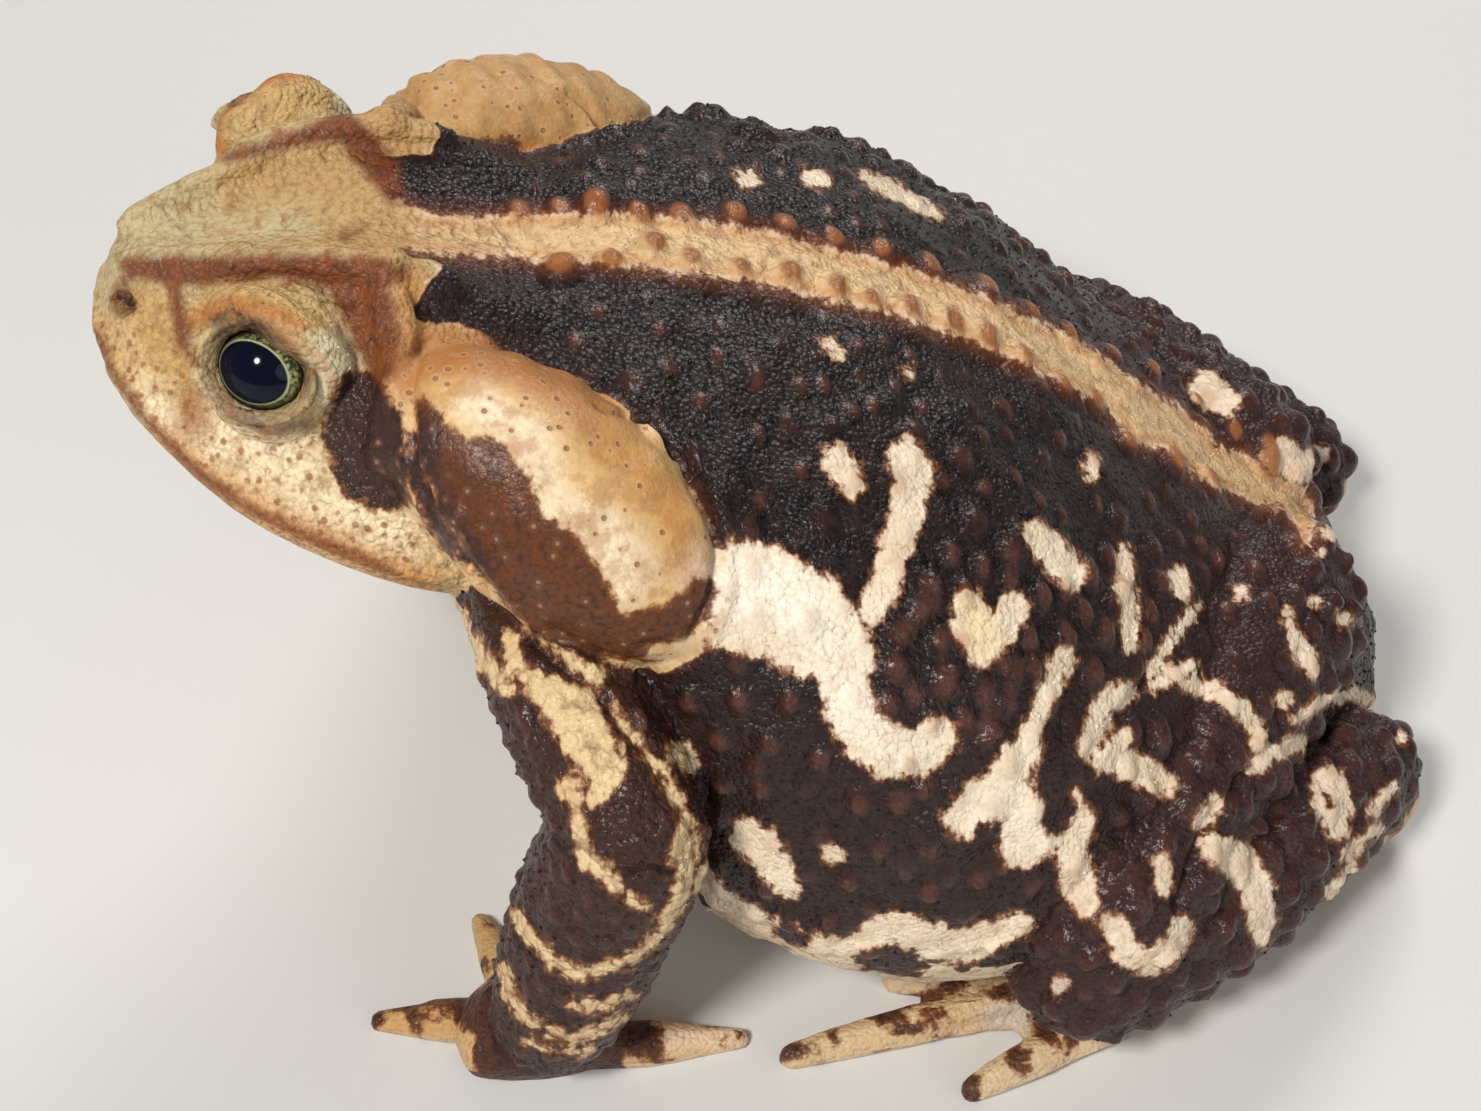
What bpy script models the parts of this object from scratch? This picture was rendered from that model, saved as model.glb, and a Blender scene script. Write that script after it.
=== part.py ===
"""A sitting cane toad, life size, as the solids of a still display model.

The toad faces -Y with its left side at +X, and rests on the floor at z = 0.
All sizes below are millimetres and degrees. build_object() turns them into metres.
"""

import math
import random

import bmesh
import bpy
from mathutils import Matrix, Vector

MM = 0.001
GAP = 0.3  # clear space between two nodes that meet
FLOOR_DEPTH = 40.0
BELLY_CENTRE = Vector((0.0, 22.0, 0.0))  # this point of the sizes below becomes the origin
WORLD_AXES = (Vector((1, 0, 0)), Vector((0, 1, 0)), Vector((0, 0, 1)))

# The head has a frame of its own: f runs forward from the corner of the mouth, u up from the lip.
HEAD_ORIGIN = Vector((0.0, -30.0, 62.0))
HEAD_PITCH = math.radians(20.0)
HEAD_RINGS = 20
# f, roof at the midline, crest x, crest u, cheek x, cheek u, lip x, lip u
HEAD_STATIONS = (
    (-4.0, 20.3, 12.5, 21.2, 26.0, 13.5, 31.0, -2.5),
    (8.0, 21.0, 13.5, 22.5, 27.0, 14.5, 31.5, -2.5),
    (17.0, 20.0, 12.5, 22.0, 24.0, 14.0, 29.5, -2.5),
    (25.0, 17.6, 10.5, 19.8, 19.0, 11.0, 26.0, -2.4),
    (32.0, 14.8, 8.4, 16.4, 14.0, 10.0, 20.5, -2.0),
    (38.0, 12.0, 6.2, 12.8, 10.2, 8.0, 14.6, -1.2),
    (41.5, 10.0, 4.4, 10.2, 7.0, 6.6, 9.6, -0.6),
    (43.2, 7.4, 2.6, 7.4, 4.2, 5.0, 5.4, 0.4),
)
SNOUT_TIP = (44.0, 3.6)
JAW_INSET = 0.9  # the upper lip overhangs the lower jaw by this much
JAW_TOP = 3.0
# f, half width as a share of the lip's, depth below the lip
JAW_STATIONS = (
    (-8.0, 0.93, 13.0),
    (0.0, 0.95, 11.5),
    (14.0, 0.96, 9.0),
    (28.0, 0.95, 7.5),
    (37.0, 0.93, 5.5),
    (41.5, 0.88, 3.4),
)
JAW_RINGS = 14
JAW_SIDES = 22

EYE_AT = (26.2, 18.2, 12.2)  # f, x, u of the eyeball's centre
EYE_RADIUS = 6.5
EYE_LOOK = Vector((0.80, -0.22, 0.52))
LID_SHELL = 1.9  # how far the lids stand off the eyeball
LID_OPEN_COS = 0.52  # the lids part on a cone about the line of sight
NOSTRIL_AT = (40.6, 6.0, 6.6)
NOSTRIL_RADIUS = 0.85

# Bony crests as (f, x, u) along each line, with the ridge's radius
CRESTS = {
    "canthal": (((41.0, 4.6, 9.6), (36.0, 7.0, 13.2), (30.5, 9.0, 16.6)), 1.5),
    "supraorbital": (((31.0, 9.2, 16.6), (25.0, 10.8, 19.6), (17.5, 12.8, 21.8), (12.0, 14.0, 22.2)), 1.5),
    "preorbital": (((31.5, 9.4, 16.0), (31.5, 14.5, 11.5), (30.0, 18.5, 6.5)), 1.2),
    "postorbital": (((17.5, 12.8, 21.4), (16.0, 18.5, 20.0), (14.5, 24.0, 15.6), (14.5, 26.5, 10.0)), 1.8),
}

PAROTOID_AT = Vector((31.2, -22.0, 71.3))
PAROTOID_ALONG = Vector((20.0, 33.0, -23.0))
PAROTOID_OUT = Vector((0.74, 0.0, 0.67))
PAROTOID_SIZE = (22.6, 11.8, 11.5)  # half length, half width, half thickness

# y, back line, belly line, half width, height of the widest point, fullness above and below
TORSO_STATIONS = (
    (-42.0, 77.0, 56.0, 20.0, 66.0, 2.1, 2.0),
    (-31.0, 81.5, 38.0, 31.0, 58.0, 2.4, 2.1),
    (-21.0, 82.5, 21.0, 40.0, 49.0, 2.5, 2.2),
    (-8.0, 80.5, 3.0, 50.0, 37.0, 2.7, 2.3),
    (8.0, 76.0, -3.0, 56.5, 30.0, 2.6, 2.4),
    (24.0, 69.0, -3.0, 58.0, 28.0, 2.4, 2.4),
    (40.0, 58.0, -3.0, 53.5, 26.0, 2.05, 2.4),
    (56.0, 44.5, -3.0, 41.0, 22.0, 2.0, 2.3),
    (70.0, 32.0, -1.0, 27.0, 17.0, 2.0, 2.1),
    (80.0, 20.0, 4.0, 15.5, 12.5, 2.0, 2.0),
)
TORSO_RINGS = 26
TORSO_SIDES = 36
TORSO_TIP = Vector((0.0, 85.0, 11.0))
STRIPE_SIDE = 6.5  # the warts beside the pale stripe down the back are this far from the midline
TORSO_WARTS = 0.10  # the share of the torso's faces that carry a wart
LIMB_WARTS = 0.14
WART_SIZE = 2.0  # half the width of a middling wart
WART_RISE = 0.6  # a wart's height above the skin, as a share of half its width
DICE = random.Random(11)

# Limbs: knots of x, y, z and the two radii, across and along the limb's own up
LIMBS = {
    "left": {
        "upper_arm": ((26, -26, 57, 8, 9), (41, -23, 54.5, 8, 9), (53, -17.5, 47, 7.8, 8.5)),
        "forearm": ((54, -17.5, 44, 8.6, 8.6), (52.5, -21, 32, 9.2, 9.2), (52, -25, 18, 8.4, 8.4), (51.5, -28, 8, 6.6, 6.6)),
        "thigh": ((14, 62, 28, 14, 14), (34, 47, 28.5, 14, 14), (50, 36.5, 24, 12.5, 13)),
        "shank": ((54, 36, 16, 9.2, 10.5), (46, 50, 17, 10.5, 11.5), (34, 66, 14, 9, 10), (27, 75, 11.5, 7.5, 8)),
    },
    "right": {
        "upper_arm": ((-26, -26, 57, 8, 9), (-41, -23, 54.5, 8, 9), (-53, -17.5, 47, 7.8, 8.5)),
        "forearm": ((-54, -17.5, 44, 8.6, 8.6), (-52.5, -21, 32, 9.2, 9.2), (-52, -25, 18, 8.4, 8.4), (-51.5, -28, 8, 6.6, 6.6)),
        "thigh": ((-14, 64, 26, 14, 14), (-33, 53, 25, 14, 14), (-50, 41.5, 20.5, 12.5, 12.5)),
        "shank": ((-54, 41, 15, 9.2, 10.5), (-46, 56, 16, 10.5, 11.5), (-36, 72, 14, 9, 10), (-30, 82, 11.5, 7.5, 8)),
    },
}
LIMB_SIDES = 12
LIMB_STEPS = 3

# Digit tips and where they leave the palm or sole, as x, y
HANDS = {
    "left": {"palm": (50, -29), "digits": ((52, -24, 51, -4.5), (45, -27, 33, -21), (45, -31, 30, -36), (47, -33, 44, -49))},
    "right": {"palm": (-50, -29), "digits": ((-52, -24, -52, -5), (-45, -27, -34, -20), (-45, -31, -31, -35), (-47, -33, -45, -49))},
}
PALM_RADII = (9.0, 10.0, 6.0)
PALM_HEIGHT = 4.6
DIGIT_RADIUS = 3.1
DIGIT_TIP_RADIUS = 1.9

FEET = {
    "left": {
        "tarsus": ((27, 77, 8, 6.5, 6.5), (38, 60, 6.5, 6, 5.5), (49, 41, 5.5, 7, 5)),
        "digits": ((46, 39, 38, 31), (47, 38, 41, 23), (48, 37, 45, 13), (49, 35, 54.7, -1.5), (54, 39, 61.5, 20)),
    },
    "right": {
        "tarsus": ((-30, 84, 8, 6.5, 6.5), (-41, 67, 6.5, 6, 5.5), (-51, 47, 5.5, 7, 5)),
        "digits": ((-48, 45, -40, 37), (-49, 44, -43, 29), (-50, 43, -47, 19), (-51, 41, -57, 4), (-56, 45, -63, 26)),
    },
}
TOE_RADIUS = 3.0
TOE_TIP_RADIUS = 1.8
WEB_SHARE = 0.5  # how far along the toes the web reaches
WEB_THICKNESS = 1.3
WEB_LEVEL = 1.1
DIGIT_SIDES = 8

SIDES = (("left", 1), ("right", -1))
# Which neighbours each node is cut back from
YIELDS_TO = {
    "head": ("eye", "parotoid"),
    "torso": ("skull", "jaw", "parotoid"),
    "upper_arm": ("torso", "skull", "jaw", "parotoid"),
    "forearm": ("upper_arm", "torso"),
    "hand": ("forearm", "torso"),
    "thigh": ("torso",),
    "shank": ("thigh", "torso"),
    "foot": ("shank", "thigh", "torso"),
}

SKIN = (0.115, 0.062, 0.045)
GLAND = (0.52, 0.27, 0.10)
EYE = (0.015, 0.018, 0.03)


def blend(table, at):
    """The row of table at this value of its first column, on a smooth curve through the rows."""
    last = len(table) - 1
    i = 0
    while i < last - 1 and table[i + 1][0] < at:
        i += 1
    low, high = table[i], table[i + 1]
    before, after = table[max(i - 1, 0)], table[min(i + 2, last)]
    t = (at - low[0]) / (high[0] - low[0])
    row = []
    for a, b, c, d in zip(before, low, high, after):
        bend = (2 * b + (c - a) * t + (2 * a - 5 * b + 4 * c - d) * t * t + (3 * b - 3 * c + d - a) * t**3) / 2
        row.append(bend)
    return row


def along(table, rings):
    """Rows spread evenly along the table's first column."""
    first, last = table[0][0], table[-1][0]
    return [blend(table, first + (last - first) * k / (rings - 1)) for k in range(rings)]


def power(value, share):
    return math.copysign(abs(value) ** share, value)


def mesh_object(name, bm, colour):
    mesh = bpy.data.meshes.new(name)
    bmesh.ops.recalc_face_normals(bm, faces=bm.faces)
    bm.to_mesh(mesh)
    bm.free()
    obj = bpy.data.objects.new(name, mesh)
    bpy.context.scene.collection.objects.link(obj)
    mesh.materials.append(material(name, colour))
    return obj


def material(name, colour):
    made = bpy.data.materials.new(name)
    made.use_nodes = True
    shader = made.node_tree.nodes["Principled BSDF"]
    shader.inputs["Base Color"].default_value = (*colour, 1.0)
    shader.inputs["Roughness"].default_value = 0.55
    return made


def loft(name, rings, first_tip, last_tip, colour=SKIN):
    """A closed body through rings of points, with a pole at each end. Points are millimetres."""
    bm = bmesh.new()
    grid = [[bm.verts.new(Vector(p) * MM) for p in ring] for ring in rings]
    count = len(grid[0])
    for ring, following in zip(grid, grid[1:]):
        for k in range(count):
            n = (k + 1) % count
            bm.faces.new((ring[k], ring[n], following[n], following[k]))
    for ring, tip in ((grid[0], first_tip), (grid[-1], last_tip)):
        pole = bm.verts.new(Vector(tip) * MM)
        for k in range(count):
            bm.faces.new((ring[k], ring[(k + 1) % count], pole))
    return mesh_object(name, bm, colour)


def curve_points(knots, steps):
    """Points on a smooth curve through the knots, as (position and radii) rows."""
    table = [(k, *knot) for k, knot in enumerate(knots)]
    count = (len(knots) - 1) * steps + 1
    return [blend(table, k / steps)[1:] for k in range(count)]


def tube(name, knots, sides=LIMB_SIDES, steps=LIMB_STEPS, colour=SKIN):
    """A round-ended limb through knots of x, y, z and two radii."""
    rows = curve_points(knots, steps)
    centres = [Vector(row[:3]) for row in rows]
    radii = [(row[3], row[4]) for row in rows]
    ends = []
    for here, beside, size in ((centres[0], centres[1], radii[0]), (centres[-1], centres[-2], radii[-1])):
        out = (here - beside).normalized()
        ends.append([(here + out * size[1] * math.sin(a), [r * math.cos(a) for r in size]) for a in (0.5, 1.05)])
        ends[-1].append(here + out * size[1])
    path = [*reversed(ends[0][:2]), *zip(centres, radii), *ends[1][:2]]
    rings = []
    for k, (centre, size) in enumerate(path):
        ahead = path[min(k + 1, len(path) - 1)][0] - path[max(k - 1, 0)][0]
        direction = ahead.normalized()
        side = direction.cross(Vector((0, 0, 1)))
        if side.length < 0.25:
            side = direction.cross(Vector((0, 1, 0)))
        side.normalize()
        up = side.cross(direction).normalized()
        angles = [2 * math.pi * s / sides for s in range(sides)]
        rings.append([centre + side * size[0] * math.cos(a) + up * size[1] * math.sin(a) for a in angles])
    return loft(name, rings, ends[0][2], ends[1][2], colour)


def ellipsoid(name, centre, axes, radii, colour=SKIN, segments=24, rings=14):
    """An ellipsoid with its radii along three given directions."""
    bm = bmesh.new()
    bmesh.ops.create_uvsphere(bm, u_segments=segments, v_segments=rings, radius=1.0)
    for v in bm.verts:
        place = centre.copy()
        for axis, radius, part in zip(axes, radii, v.co):
            place += axis * radius * part
        v.co = place * MM
    return mesh_object(name, bm, colour)


def frame_about(main, hint):
    """Three directions at right angles, the first along main and the last near hint."""
    first = main.normalized()
    last = (hint - first * hint.dot(first)).normalized()
    return first, last.cross(first), last


def on_head(f, x, u):
    """A point of the head's frame in the toad's own."""
    forward = Vector((0.0, -math.cos(HEAD_PITCH), math.sin(HEAD_PITCH)))
    up = Vector((0.0, math.sin(HEAD_PITCH), math.cos(HEAD_PITCH)))
    return HEAD_ORIGIN + forward * f + up * u + Vector((x, 0.0, 0.0))


def evaluated_mesh(obj):
    bpy.context.view_layer.update()
    graph = bpy.context.evaluated_depsgraph_get()
    return bpy.data.meshes.new_from_object(obj.evaluated_get(graph))


def settle(obj):
    """Turns the object's modifiers into its mesh and keeps its largest closed surface."""
    mesh = evaluated_mesh(obj)
    obj.modifiers.clear()
    old, obj.data = obj.data, mesh
    bpy.data.meshes.remove(old)
    bm = bmesh.new()
    bm.from_mesh(mesh)
    shells = sorted(surfaces(bm), key=box_volume, reverse=True)
    spare = [v for shell in shells[1:] for v in shell]
    bmesh.ops.delete(bm, geom=spare, context="VERTS")
    bm.to_mesh(mesh)
    bm.free()


def surfaces(bm):
    """The mesh's vertices, grouped by connected surface."""
    left = set(bm.verts)
    shells = []
    while left:
        shell = []
        edge = [left.pop()]
        while edge:
            v = edge.pop()
            shell.append(v)
            for link in v.link_edges:
                other = link.other_vert(v)
                if other in left:
                    left.remove(other)
                    edge.append(other)
        shells.append(shell)
    return shells


def box_volume(points):
    """The volume of the box round these vertices."""
    sides = [max(v.co[k] for v in points) - min(v.co[k] for v in points) for k in range(3)]
    return sides[0] * sides[1] * sides[2]


def join(name, pieces):
    """Fuses closed meshes into one."""
    body, *others = pieces
    body.name = name
    group = bpy.data.collections.new(name)
    bpy.context.scene.collection.children.link(group)
    for other in others:
        bpy.context.scene.collection.objects.unlink(other)
        group.objects.link(other)
    modifier = body.modifiers.new("join", "BOOLEAN")
    modifier.operation = "UNION"
    modifier.solver = "MANIFOLD"
    modifier.operand_type = "COLLECTION"
    modifier.collection = group
    settle(body)
    for other in list(group.objects):
        bpy.data.objects.remove(other)
    bpy.data.collections.remove(group)
    return body


def cut(obj, cutter):
    """Takes the cutter's space out of obj, and removes the cutter."""
    modifier = obj.modifiers.new("cut", "BOOLEAN")
    modifier.operation = "DIFFERENCE"
    modifier.solver = "MANIFOLD"
    modifier.object = cutter
    settle(obj)
    bpy.data.objects.remove(cutter)


def copy_of(obj, name, stand_out=0.0):
    """A copy of the object, with its surface moved out by this many millimetres."""
    bm = bmesh.new()
    bm.from_mesh(obj.data)
    bm.normal_update()
    shifts = [(v, v.normal * stand_out * MM) for v in bm.verts]
    for v, shift in shifts:
        v.co += shift
    mesh = obj.data.copy()
    bm.to_mesh(mesh)
    bm.free()
    copy = bpy.data.objects.new(name, mesh)
    bpy.context.scene.collection.objects.link(copy)
    return copy


def flatten_base(obj):
    """Cuts off what is below the floor, which leaves a flat."""
    bm = bmesh.new()
    bmesh.ops.create_cube(bm, size=1.0)
    for v in bm.verts:
        v.co = Vector((v.co.x * 400, v.co.y * 400, (v.co.z - 0.5) * FLOOR_DEPTH)) * MM
    cut(obj, mesh_object("floor", bm, SKIN))


def raise_warts(obj, share, odds, size):
    """Grows low round warts out of a body, each on the middle of a face that the dice and odds(place, normal) pick."""
    faces = [(face.center.copy() / MM, face.normal.copy()) for face in obj.data.polygons if len(face.vertices) == 4]
    warts = []
    places = []
    for place, normal in faces:
        if DICE.random() > share * odds(place, normal):
            continue
        reach = size * DICE.uniform(0.75, 1.25)
        if any((place - other).length < reach + size for other in places):
            continue
        places.append(place)
        axes = frame_about(normal.orthogonal(), normal)
        warts.append(ellipsoid("wart", place, axes, (reach * 1.15, reach, reach * WART_RISE), segments=6, rings=3))
    return join(obj.name, [obj, *warts])


def on_back(place, normal):
    """How likely a wart is at this place of the torso: most on the flanks and beside the stripe down the back."""
    beside_stripe = abs(abs(place.x) - STRIPE_SIDE) < 2.4 and normal.z > 0.4
    if beside_stripe and place.y > -24:
        return 3.0
    if normal.z < -0.25 or place.y < -26:
        return 0.0
    return 1.0 if abs(normal.x) > 0.45 else 0.5


def on_limb(place, normal):
    return 1.0 if normal.z > -0.2 else 0.0


def make_torso():
    rings = []
    for y, top, bottom, half, widest, above, below in along(TORSO_STATIONS, TORSO_RINGS):
        ring = []
        for k in range(TORSO_SIDES):
            a = 2 * math.pi * k / TORSO_SIDES
            reach = top - widest if math.sin(a) > 0 else widest - bottom
            fullness = above if math.sin(a) > 0 else below
            x = half * power(math.cos(a), 2 / fullness)
            z = widest + reach * power(math.sin(a), 2 / fullness)
            ring.append((x, y, z))
        rings.append(ring)
    front = Vector((0.0, TORSO_STATIONS[0][0] - 3, TORSO_STATIONS[0][4]))
    torso = loft("torso", rings, front, TORSO_TIP)
    return raise_warts(torso, TORSO_WARTS, on_back, WART_SIZE)


def head_section(row):
    """The half outline of the upper head, from the roof's midline to under the lip."""
    f, roof, crest_x, crest_u, cheek_x, cheek_u, lip_x, lip_u = row
    corners = [
        (0.0, roof),
        (crest_x * 0.55, roof + (crest_u - roof) * 0.25),
        (crest_x, crest_u),
        (crest_x + (cheek_x - crest_x) * 0.55, crest_u - (crest_u - cheek_u) * 0.35),
        (cheek_x, cheek_u),
        (cheek_x + (lip_x - cheek_x) * 0.6, cheek_u - (cheek_u - lip_u) * 0.5),
        (lip_x, lip_u + 1.6),
        (lip_x - 0.3, lip_u),
        (lip_x * 0.55, lip_u - 0.6),
        (0.0, lip_u - 0.8),
    ]
    return [(f, x, u) for x, u in corners]


def make_skull():
    rings = []
    for row in along(HEAD_STATIONS, HEAD_RINGS):
        half = head_section(row)
        ring = [on_head(*point) for point in half]
        ring += [on_head(f, -x, u) for f, x, u in reversed(half[1:-1])]
        rings.append(ring)
    return loft("skull", rings, on_head(HEAD_STATIONS[0][0] - 2, 0, 9), on_head(SNOUT_TIP[0], 0, SNOUT_TIP[1]))


def make_crests(mirror):
    pieces = []
    for name, (line, radius) in CRESTS.items():
        knots = [(*on_head(f, x * mirror, u), radius, radius) for f, x, u in line]
        pieces.append(tube(name, knots, sides=6, steps=2))
    return pieces


def open_nostril(head, mirror):
    f, x, u = NOSTRIL_AT
    radii = [NOSTRIL_RADIUS * k for k in (1.6, 1.2, 1.0)]
    cut(head, ellipsoid("nostril", on_head(f, x * mirror, u), WORLD_AXES, radii, segments=8, rings=6))


def make_jaw():
    rings = []
    for f, share, depth in along(JAW_STATIONS, JAW_RINGS):
        lip_x = blend(HEAD_STATIONS, f)[6]
        lip_u = blend(HEAD_STATIONS, f)[7]
        half = lip_x * share - JAW_INSET
        ring = []
        for k in range(JAW_SIDES):
            a = 2 * math.pi * k / JAW_SIDES
            reach = JAW_TOP if math.sin(a) > 0 else depth
            ring.append(on_head(f, half * math.cos(a), lip_u - 1 + reach * math.sin(a)))
        rings.append(ring)
    back, front = JAW_STATIONS[0][0], JAW_STATIONS[-1][0]
    return loft("jaw", rings, on_head(back - 3, 0, -6), on_head(front + 1.4, 0, -1.2))


def eye_centre(mirror):
    f, x, u = EYE_AT
    return on_head(f, x * mirror, u)


def sight_line(mirror):
    return Vector((EYE_LOOK.x * mirror, EYE_LOOK.y, EYE_LOOK.z)).normalized()


def make_lid(mirror):
    """The swelling of both lids: a ball round the eye, drawn out along the brow."""
    axes = frame_about(Vector((0, 1, 0.1)), Vector((0.3 * mirror, 0, 1)))
    size = EYE_RADIUS + LID_SHELL
    return ellipsoid("lid", eye_centre(mirror), axes, (size * 1.12, size, size * 1.02), segments=16, rings=9)


def make_eye(side, mirror):
    return ellipsoid(f"eye_{side}", eye_centre(mirror), WORLD_AXES, [EYE_RADIUS] * 3, EYE, segments=16, rings=10)


def open_lids(head, mirror):
    """Cuts the opening between the lids with a cone about the line of sight."""
    centre = eye_centre(mirror)
    look = sight_line(mirror)
    axes = frame_about(look, Vector((0, 0, 1)))
    reach = EYE_RADIUS + 2 * LID_SHELL
    mouth = reach * math.tan(math.acos(LID_OPEN_COS))
    rings = []
    for share in (0.15, 1.0, 1.5):
        ring = []
        for k in range(18):
            a = 2 * math.pi * k / 18
            across = axes[1] * math.cos(a) * mouth * 0.62 + axes[2] * math.sin(a) * mouth * 0.52
            ring.append(centre + look * reach * share + across * min(share, 1.0))
        rings.append(ring)
    cone = loft("opening", rings, centre, centre + look * reach * 1.6)
    cut(head, cone)


def make_parotoid(side, mirror):
    flip = Vector((mirror, 1, 1))
    axes = frame_about(PAROTOID_ALONG * flip, PAROTOID_OUT * flip)
    return ellipsoid(f"parotoid_{side}", PAROTOID_AT * flip, axes, PAROTOID_SIZE, GLAND, segments=20, rings=12)


def make_hand(side):
    plan = HANDS[side]
    x, y = plan["palm"]
    pieces = [ellipsoid(f"hand_{side}", Vector((x, y, PALM_HEIGHT)), WORLD_AXES, PALM_RADII, segments=12, rings=8)]
    for x0, y0, x1, y1 in plan["digits"]:
        pieces.append(make_digit(x0, y0, x1, y1, DIGIT_RADIUS, DIGIT_TIP_RADIUS))
    return join(f"hand_{side}", pieces)


def make_digit(x0, y0, x1, y1, base, tip):
    """A finger or toe along the floor: a root, two low joints and a blunt tip."""
    knots = []
    for share, radius in ((0.0, base), (0.3, base * 0.92), (0.55, base * 0.98), (0.8, base * 0.8), (0.95, tip)):
        lift = radius * 0.86
        knots.append((x0 + (x1 - x0) * share, y0 + (y1 - y0) * share, lift, radius, radius))
    return tube("digit", knots, sides=DIGIT_SIDES, steps=1)


def make_foot(side):
    plan = FEET[side]
    pieces = [tube(f"foot_{side}", plan["tarsus"], sides=14)]
    for x0, y0, x1, y1 in plan["digits"]:
        pieces.append(make_digit(x0, y0, x1, y1, TOE_RADIUS, TOE_TIP_RADIUS))
    for first, second in zip(plan["digits"], plan["digits"][1:]):
        pieces.append(make_web(first, second))
    return join(f"foot_{side}", pieces)


def make_web(first, second):
    """The web between two toes: a thin plate with a hollow free edge."""
    starts = [Vector((t[0], t[1], 0)) for t in (first, second)]
    tips = [Vector((t[2], t[3], 0)) for t in (first, second)]
    reach = [s.lerp(t, WEB_SHARE) for s, t in zip(starts, tips)]
    hollow = (reach[0] + reach[1]) / 2
    hollow = hollow.lerp((starts[0] + starts[1]) / 2, 0.3)
    outline = [starts[0], starts[0].lerp(reach[0], 0.5), reach[0], hollow, reach[1], starts[1].lerp(reach[1], 0.5), starts[1]]
    bm = bmesh.new()
    low = [bm.verts.new((p + Vector((0, 0, WEB_LEVEL))) * MM) for p in outline]
    high = [bm.verts.new((p + Vector((0, 0, WEB_LEVEL + WEB_THICKNESS))) * MM) for p in outline]
    bm.faces.new(low)
    bm.faces.new(high)
    for k in range(len(outline)):
        n = (k + 1) % len(outline)
        bm.faces.new((low[k], low[n], high[n], high[k]))
    return mesh_object("web", bm, SKIN)


def make_cores():
    """The plain form of every node, whole, which its neighbours are cut back from."""
    cores = {"torso": make_torso(), "skull": make_skull(), "jaw": make_jaw()}
    for side, mirror in SIDES:
        cores[f"eye_{side}"] = make_eye(side, mirror)
        cores[f"parotoid_{side}"] = make_parotoid(side, mirror)
        for name, knots in LIMBS[side].items():
            cores[f"{name}_{side}"] = tube(f"{name}_{side}", knots)
            if name in ("thigh", "shank"):
                raise_warts(cores[f"{name}_{side}"], LIMB_WARTS, on_limb, WART_SIZE * 0.9)
        cores[f"hand_{side}"] = make_hand(side)
        cores[f"foot_{side}"] = make_foot(side)
    return cores


def build_object():
    cores = make_cores()
    head_pieces = [copy_of(cores["skull"], "head"), copy_of(cores["jaw"], "jaw")]
    for _, mirror in SIDES:
        head_pieces += [*make_crests(mirror), make_lid(mirror)]
    nodes = {"head": join("head", head_pieces)}
    for _, mirror in SIDES:
        open_lids(nodes["head"], mirror)
        open_nostril(nodes["head"], mirror)
    for name, core in cores.items():
        if name not in ("skull", "jaw"):
            nodes[name] = copy_of(core, name)
    for name, obj in nodes.items():
        part_name, _, side = name.rpartition("_")
        for other in YIELDS_TO.get(part_name or name, ()):
            for match in (other, f"{other}_{side}") if side in ("left", "right") else (other, f"{other}_left", f"{other}_right"):
                if match in cores:
                    cut(obj, copy_of(cores[match], "cutter", GAP))
        flatten_base(obj)
    for core in cores.values():
        bpy.data.objects.remove(core)
    for name, obj in nodes.items():
        obj.name = name
        obj.data.transform(Matrix.Translation(-BELLY_CENTRE * MM))


for old in list(bpy.data.objects):
    bpy.data.objects.remove(old)
build_object()
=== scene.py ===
import math

import bmesh
import bpy
import numpy as np
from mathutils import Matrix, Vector
from mathutils.bvhtree import BVHTree
from mathutils.kdtree import KDTree


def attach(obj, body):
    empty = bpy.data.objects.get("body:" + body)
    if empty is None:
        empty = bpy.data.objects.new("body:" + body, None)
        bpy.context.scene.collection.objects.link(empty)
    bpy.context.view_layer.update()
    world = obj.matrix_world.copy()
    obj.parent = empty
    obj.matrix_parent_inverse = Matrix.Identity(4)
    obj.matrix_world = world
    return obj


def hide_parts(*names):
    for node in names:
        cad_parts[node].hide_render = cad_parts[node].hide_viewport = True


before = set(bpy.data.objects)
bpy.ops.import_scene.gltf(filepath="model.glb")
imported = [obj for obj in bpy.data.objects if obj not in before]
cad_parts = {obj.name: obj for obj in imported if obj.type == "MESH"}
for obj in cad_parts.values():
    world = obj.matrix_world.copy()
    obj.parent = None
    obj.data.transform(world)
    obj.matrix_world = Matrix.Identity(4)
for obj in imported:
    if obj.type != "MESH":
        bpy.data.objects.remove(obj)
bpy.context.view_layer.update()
mm = 0.001

# The camera, and the photograph's size that pixel places below are given in
view = {
    "azimuth": 84.0, "elevation": 45.0, "distance": 304.0, "fieldOfView": 34.0,
    "target": (0.0, -22.0, 31.0), "width": 1481, "height": 1111,
}
view["focal"] = view["width"] / 2 / math.tan(math.radians(view["fieldOfView"]) / 2)
flesh = ["head", "torso"] + [
    part + side
    for part in ("parotoid", "upper_arm", "forearm", "hand", "thigh", "shank", "foot")
    for side in ("_left", "_right")
]


def cameraAxes():
    # Where the camera stands, in millimetres, and the ways back, right and up from it
    az, el = math.radians(view["azimuth"]), math.radians(view["elevation"])
    back = Vector((math.sin(az) * math.cos(el), -math.cos(az) * math.cos(el), math.sin(el)))
    right = (-back).cross(Vector((0, 0, 1))).normalized()
    return Vector(view["target"]) + back * view["distance"], back, right, right.cross(-back)


def pixelRay(x, y):
    # The ray from the camera through a pixel of the photograph
    origin, back, right, up = cameraAxes()
    across, down = (x - view["width"] / 2) / view["focal"], (y - view["height"] / 2) / view["focal"]
    return origin, (-back + right * across - up * down).normalized()


# Mesh helpers. Points are numpy rows in millimetres until the mesh is written.

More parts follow.
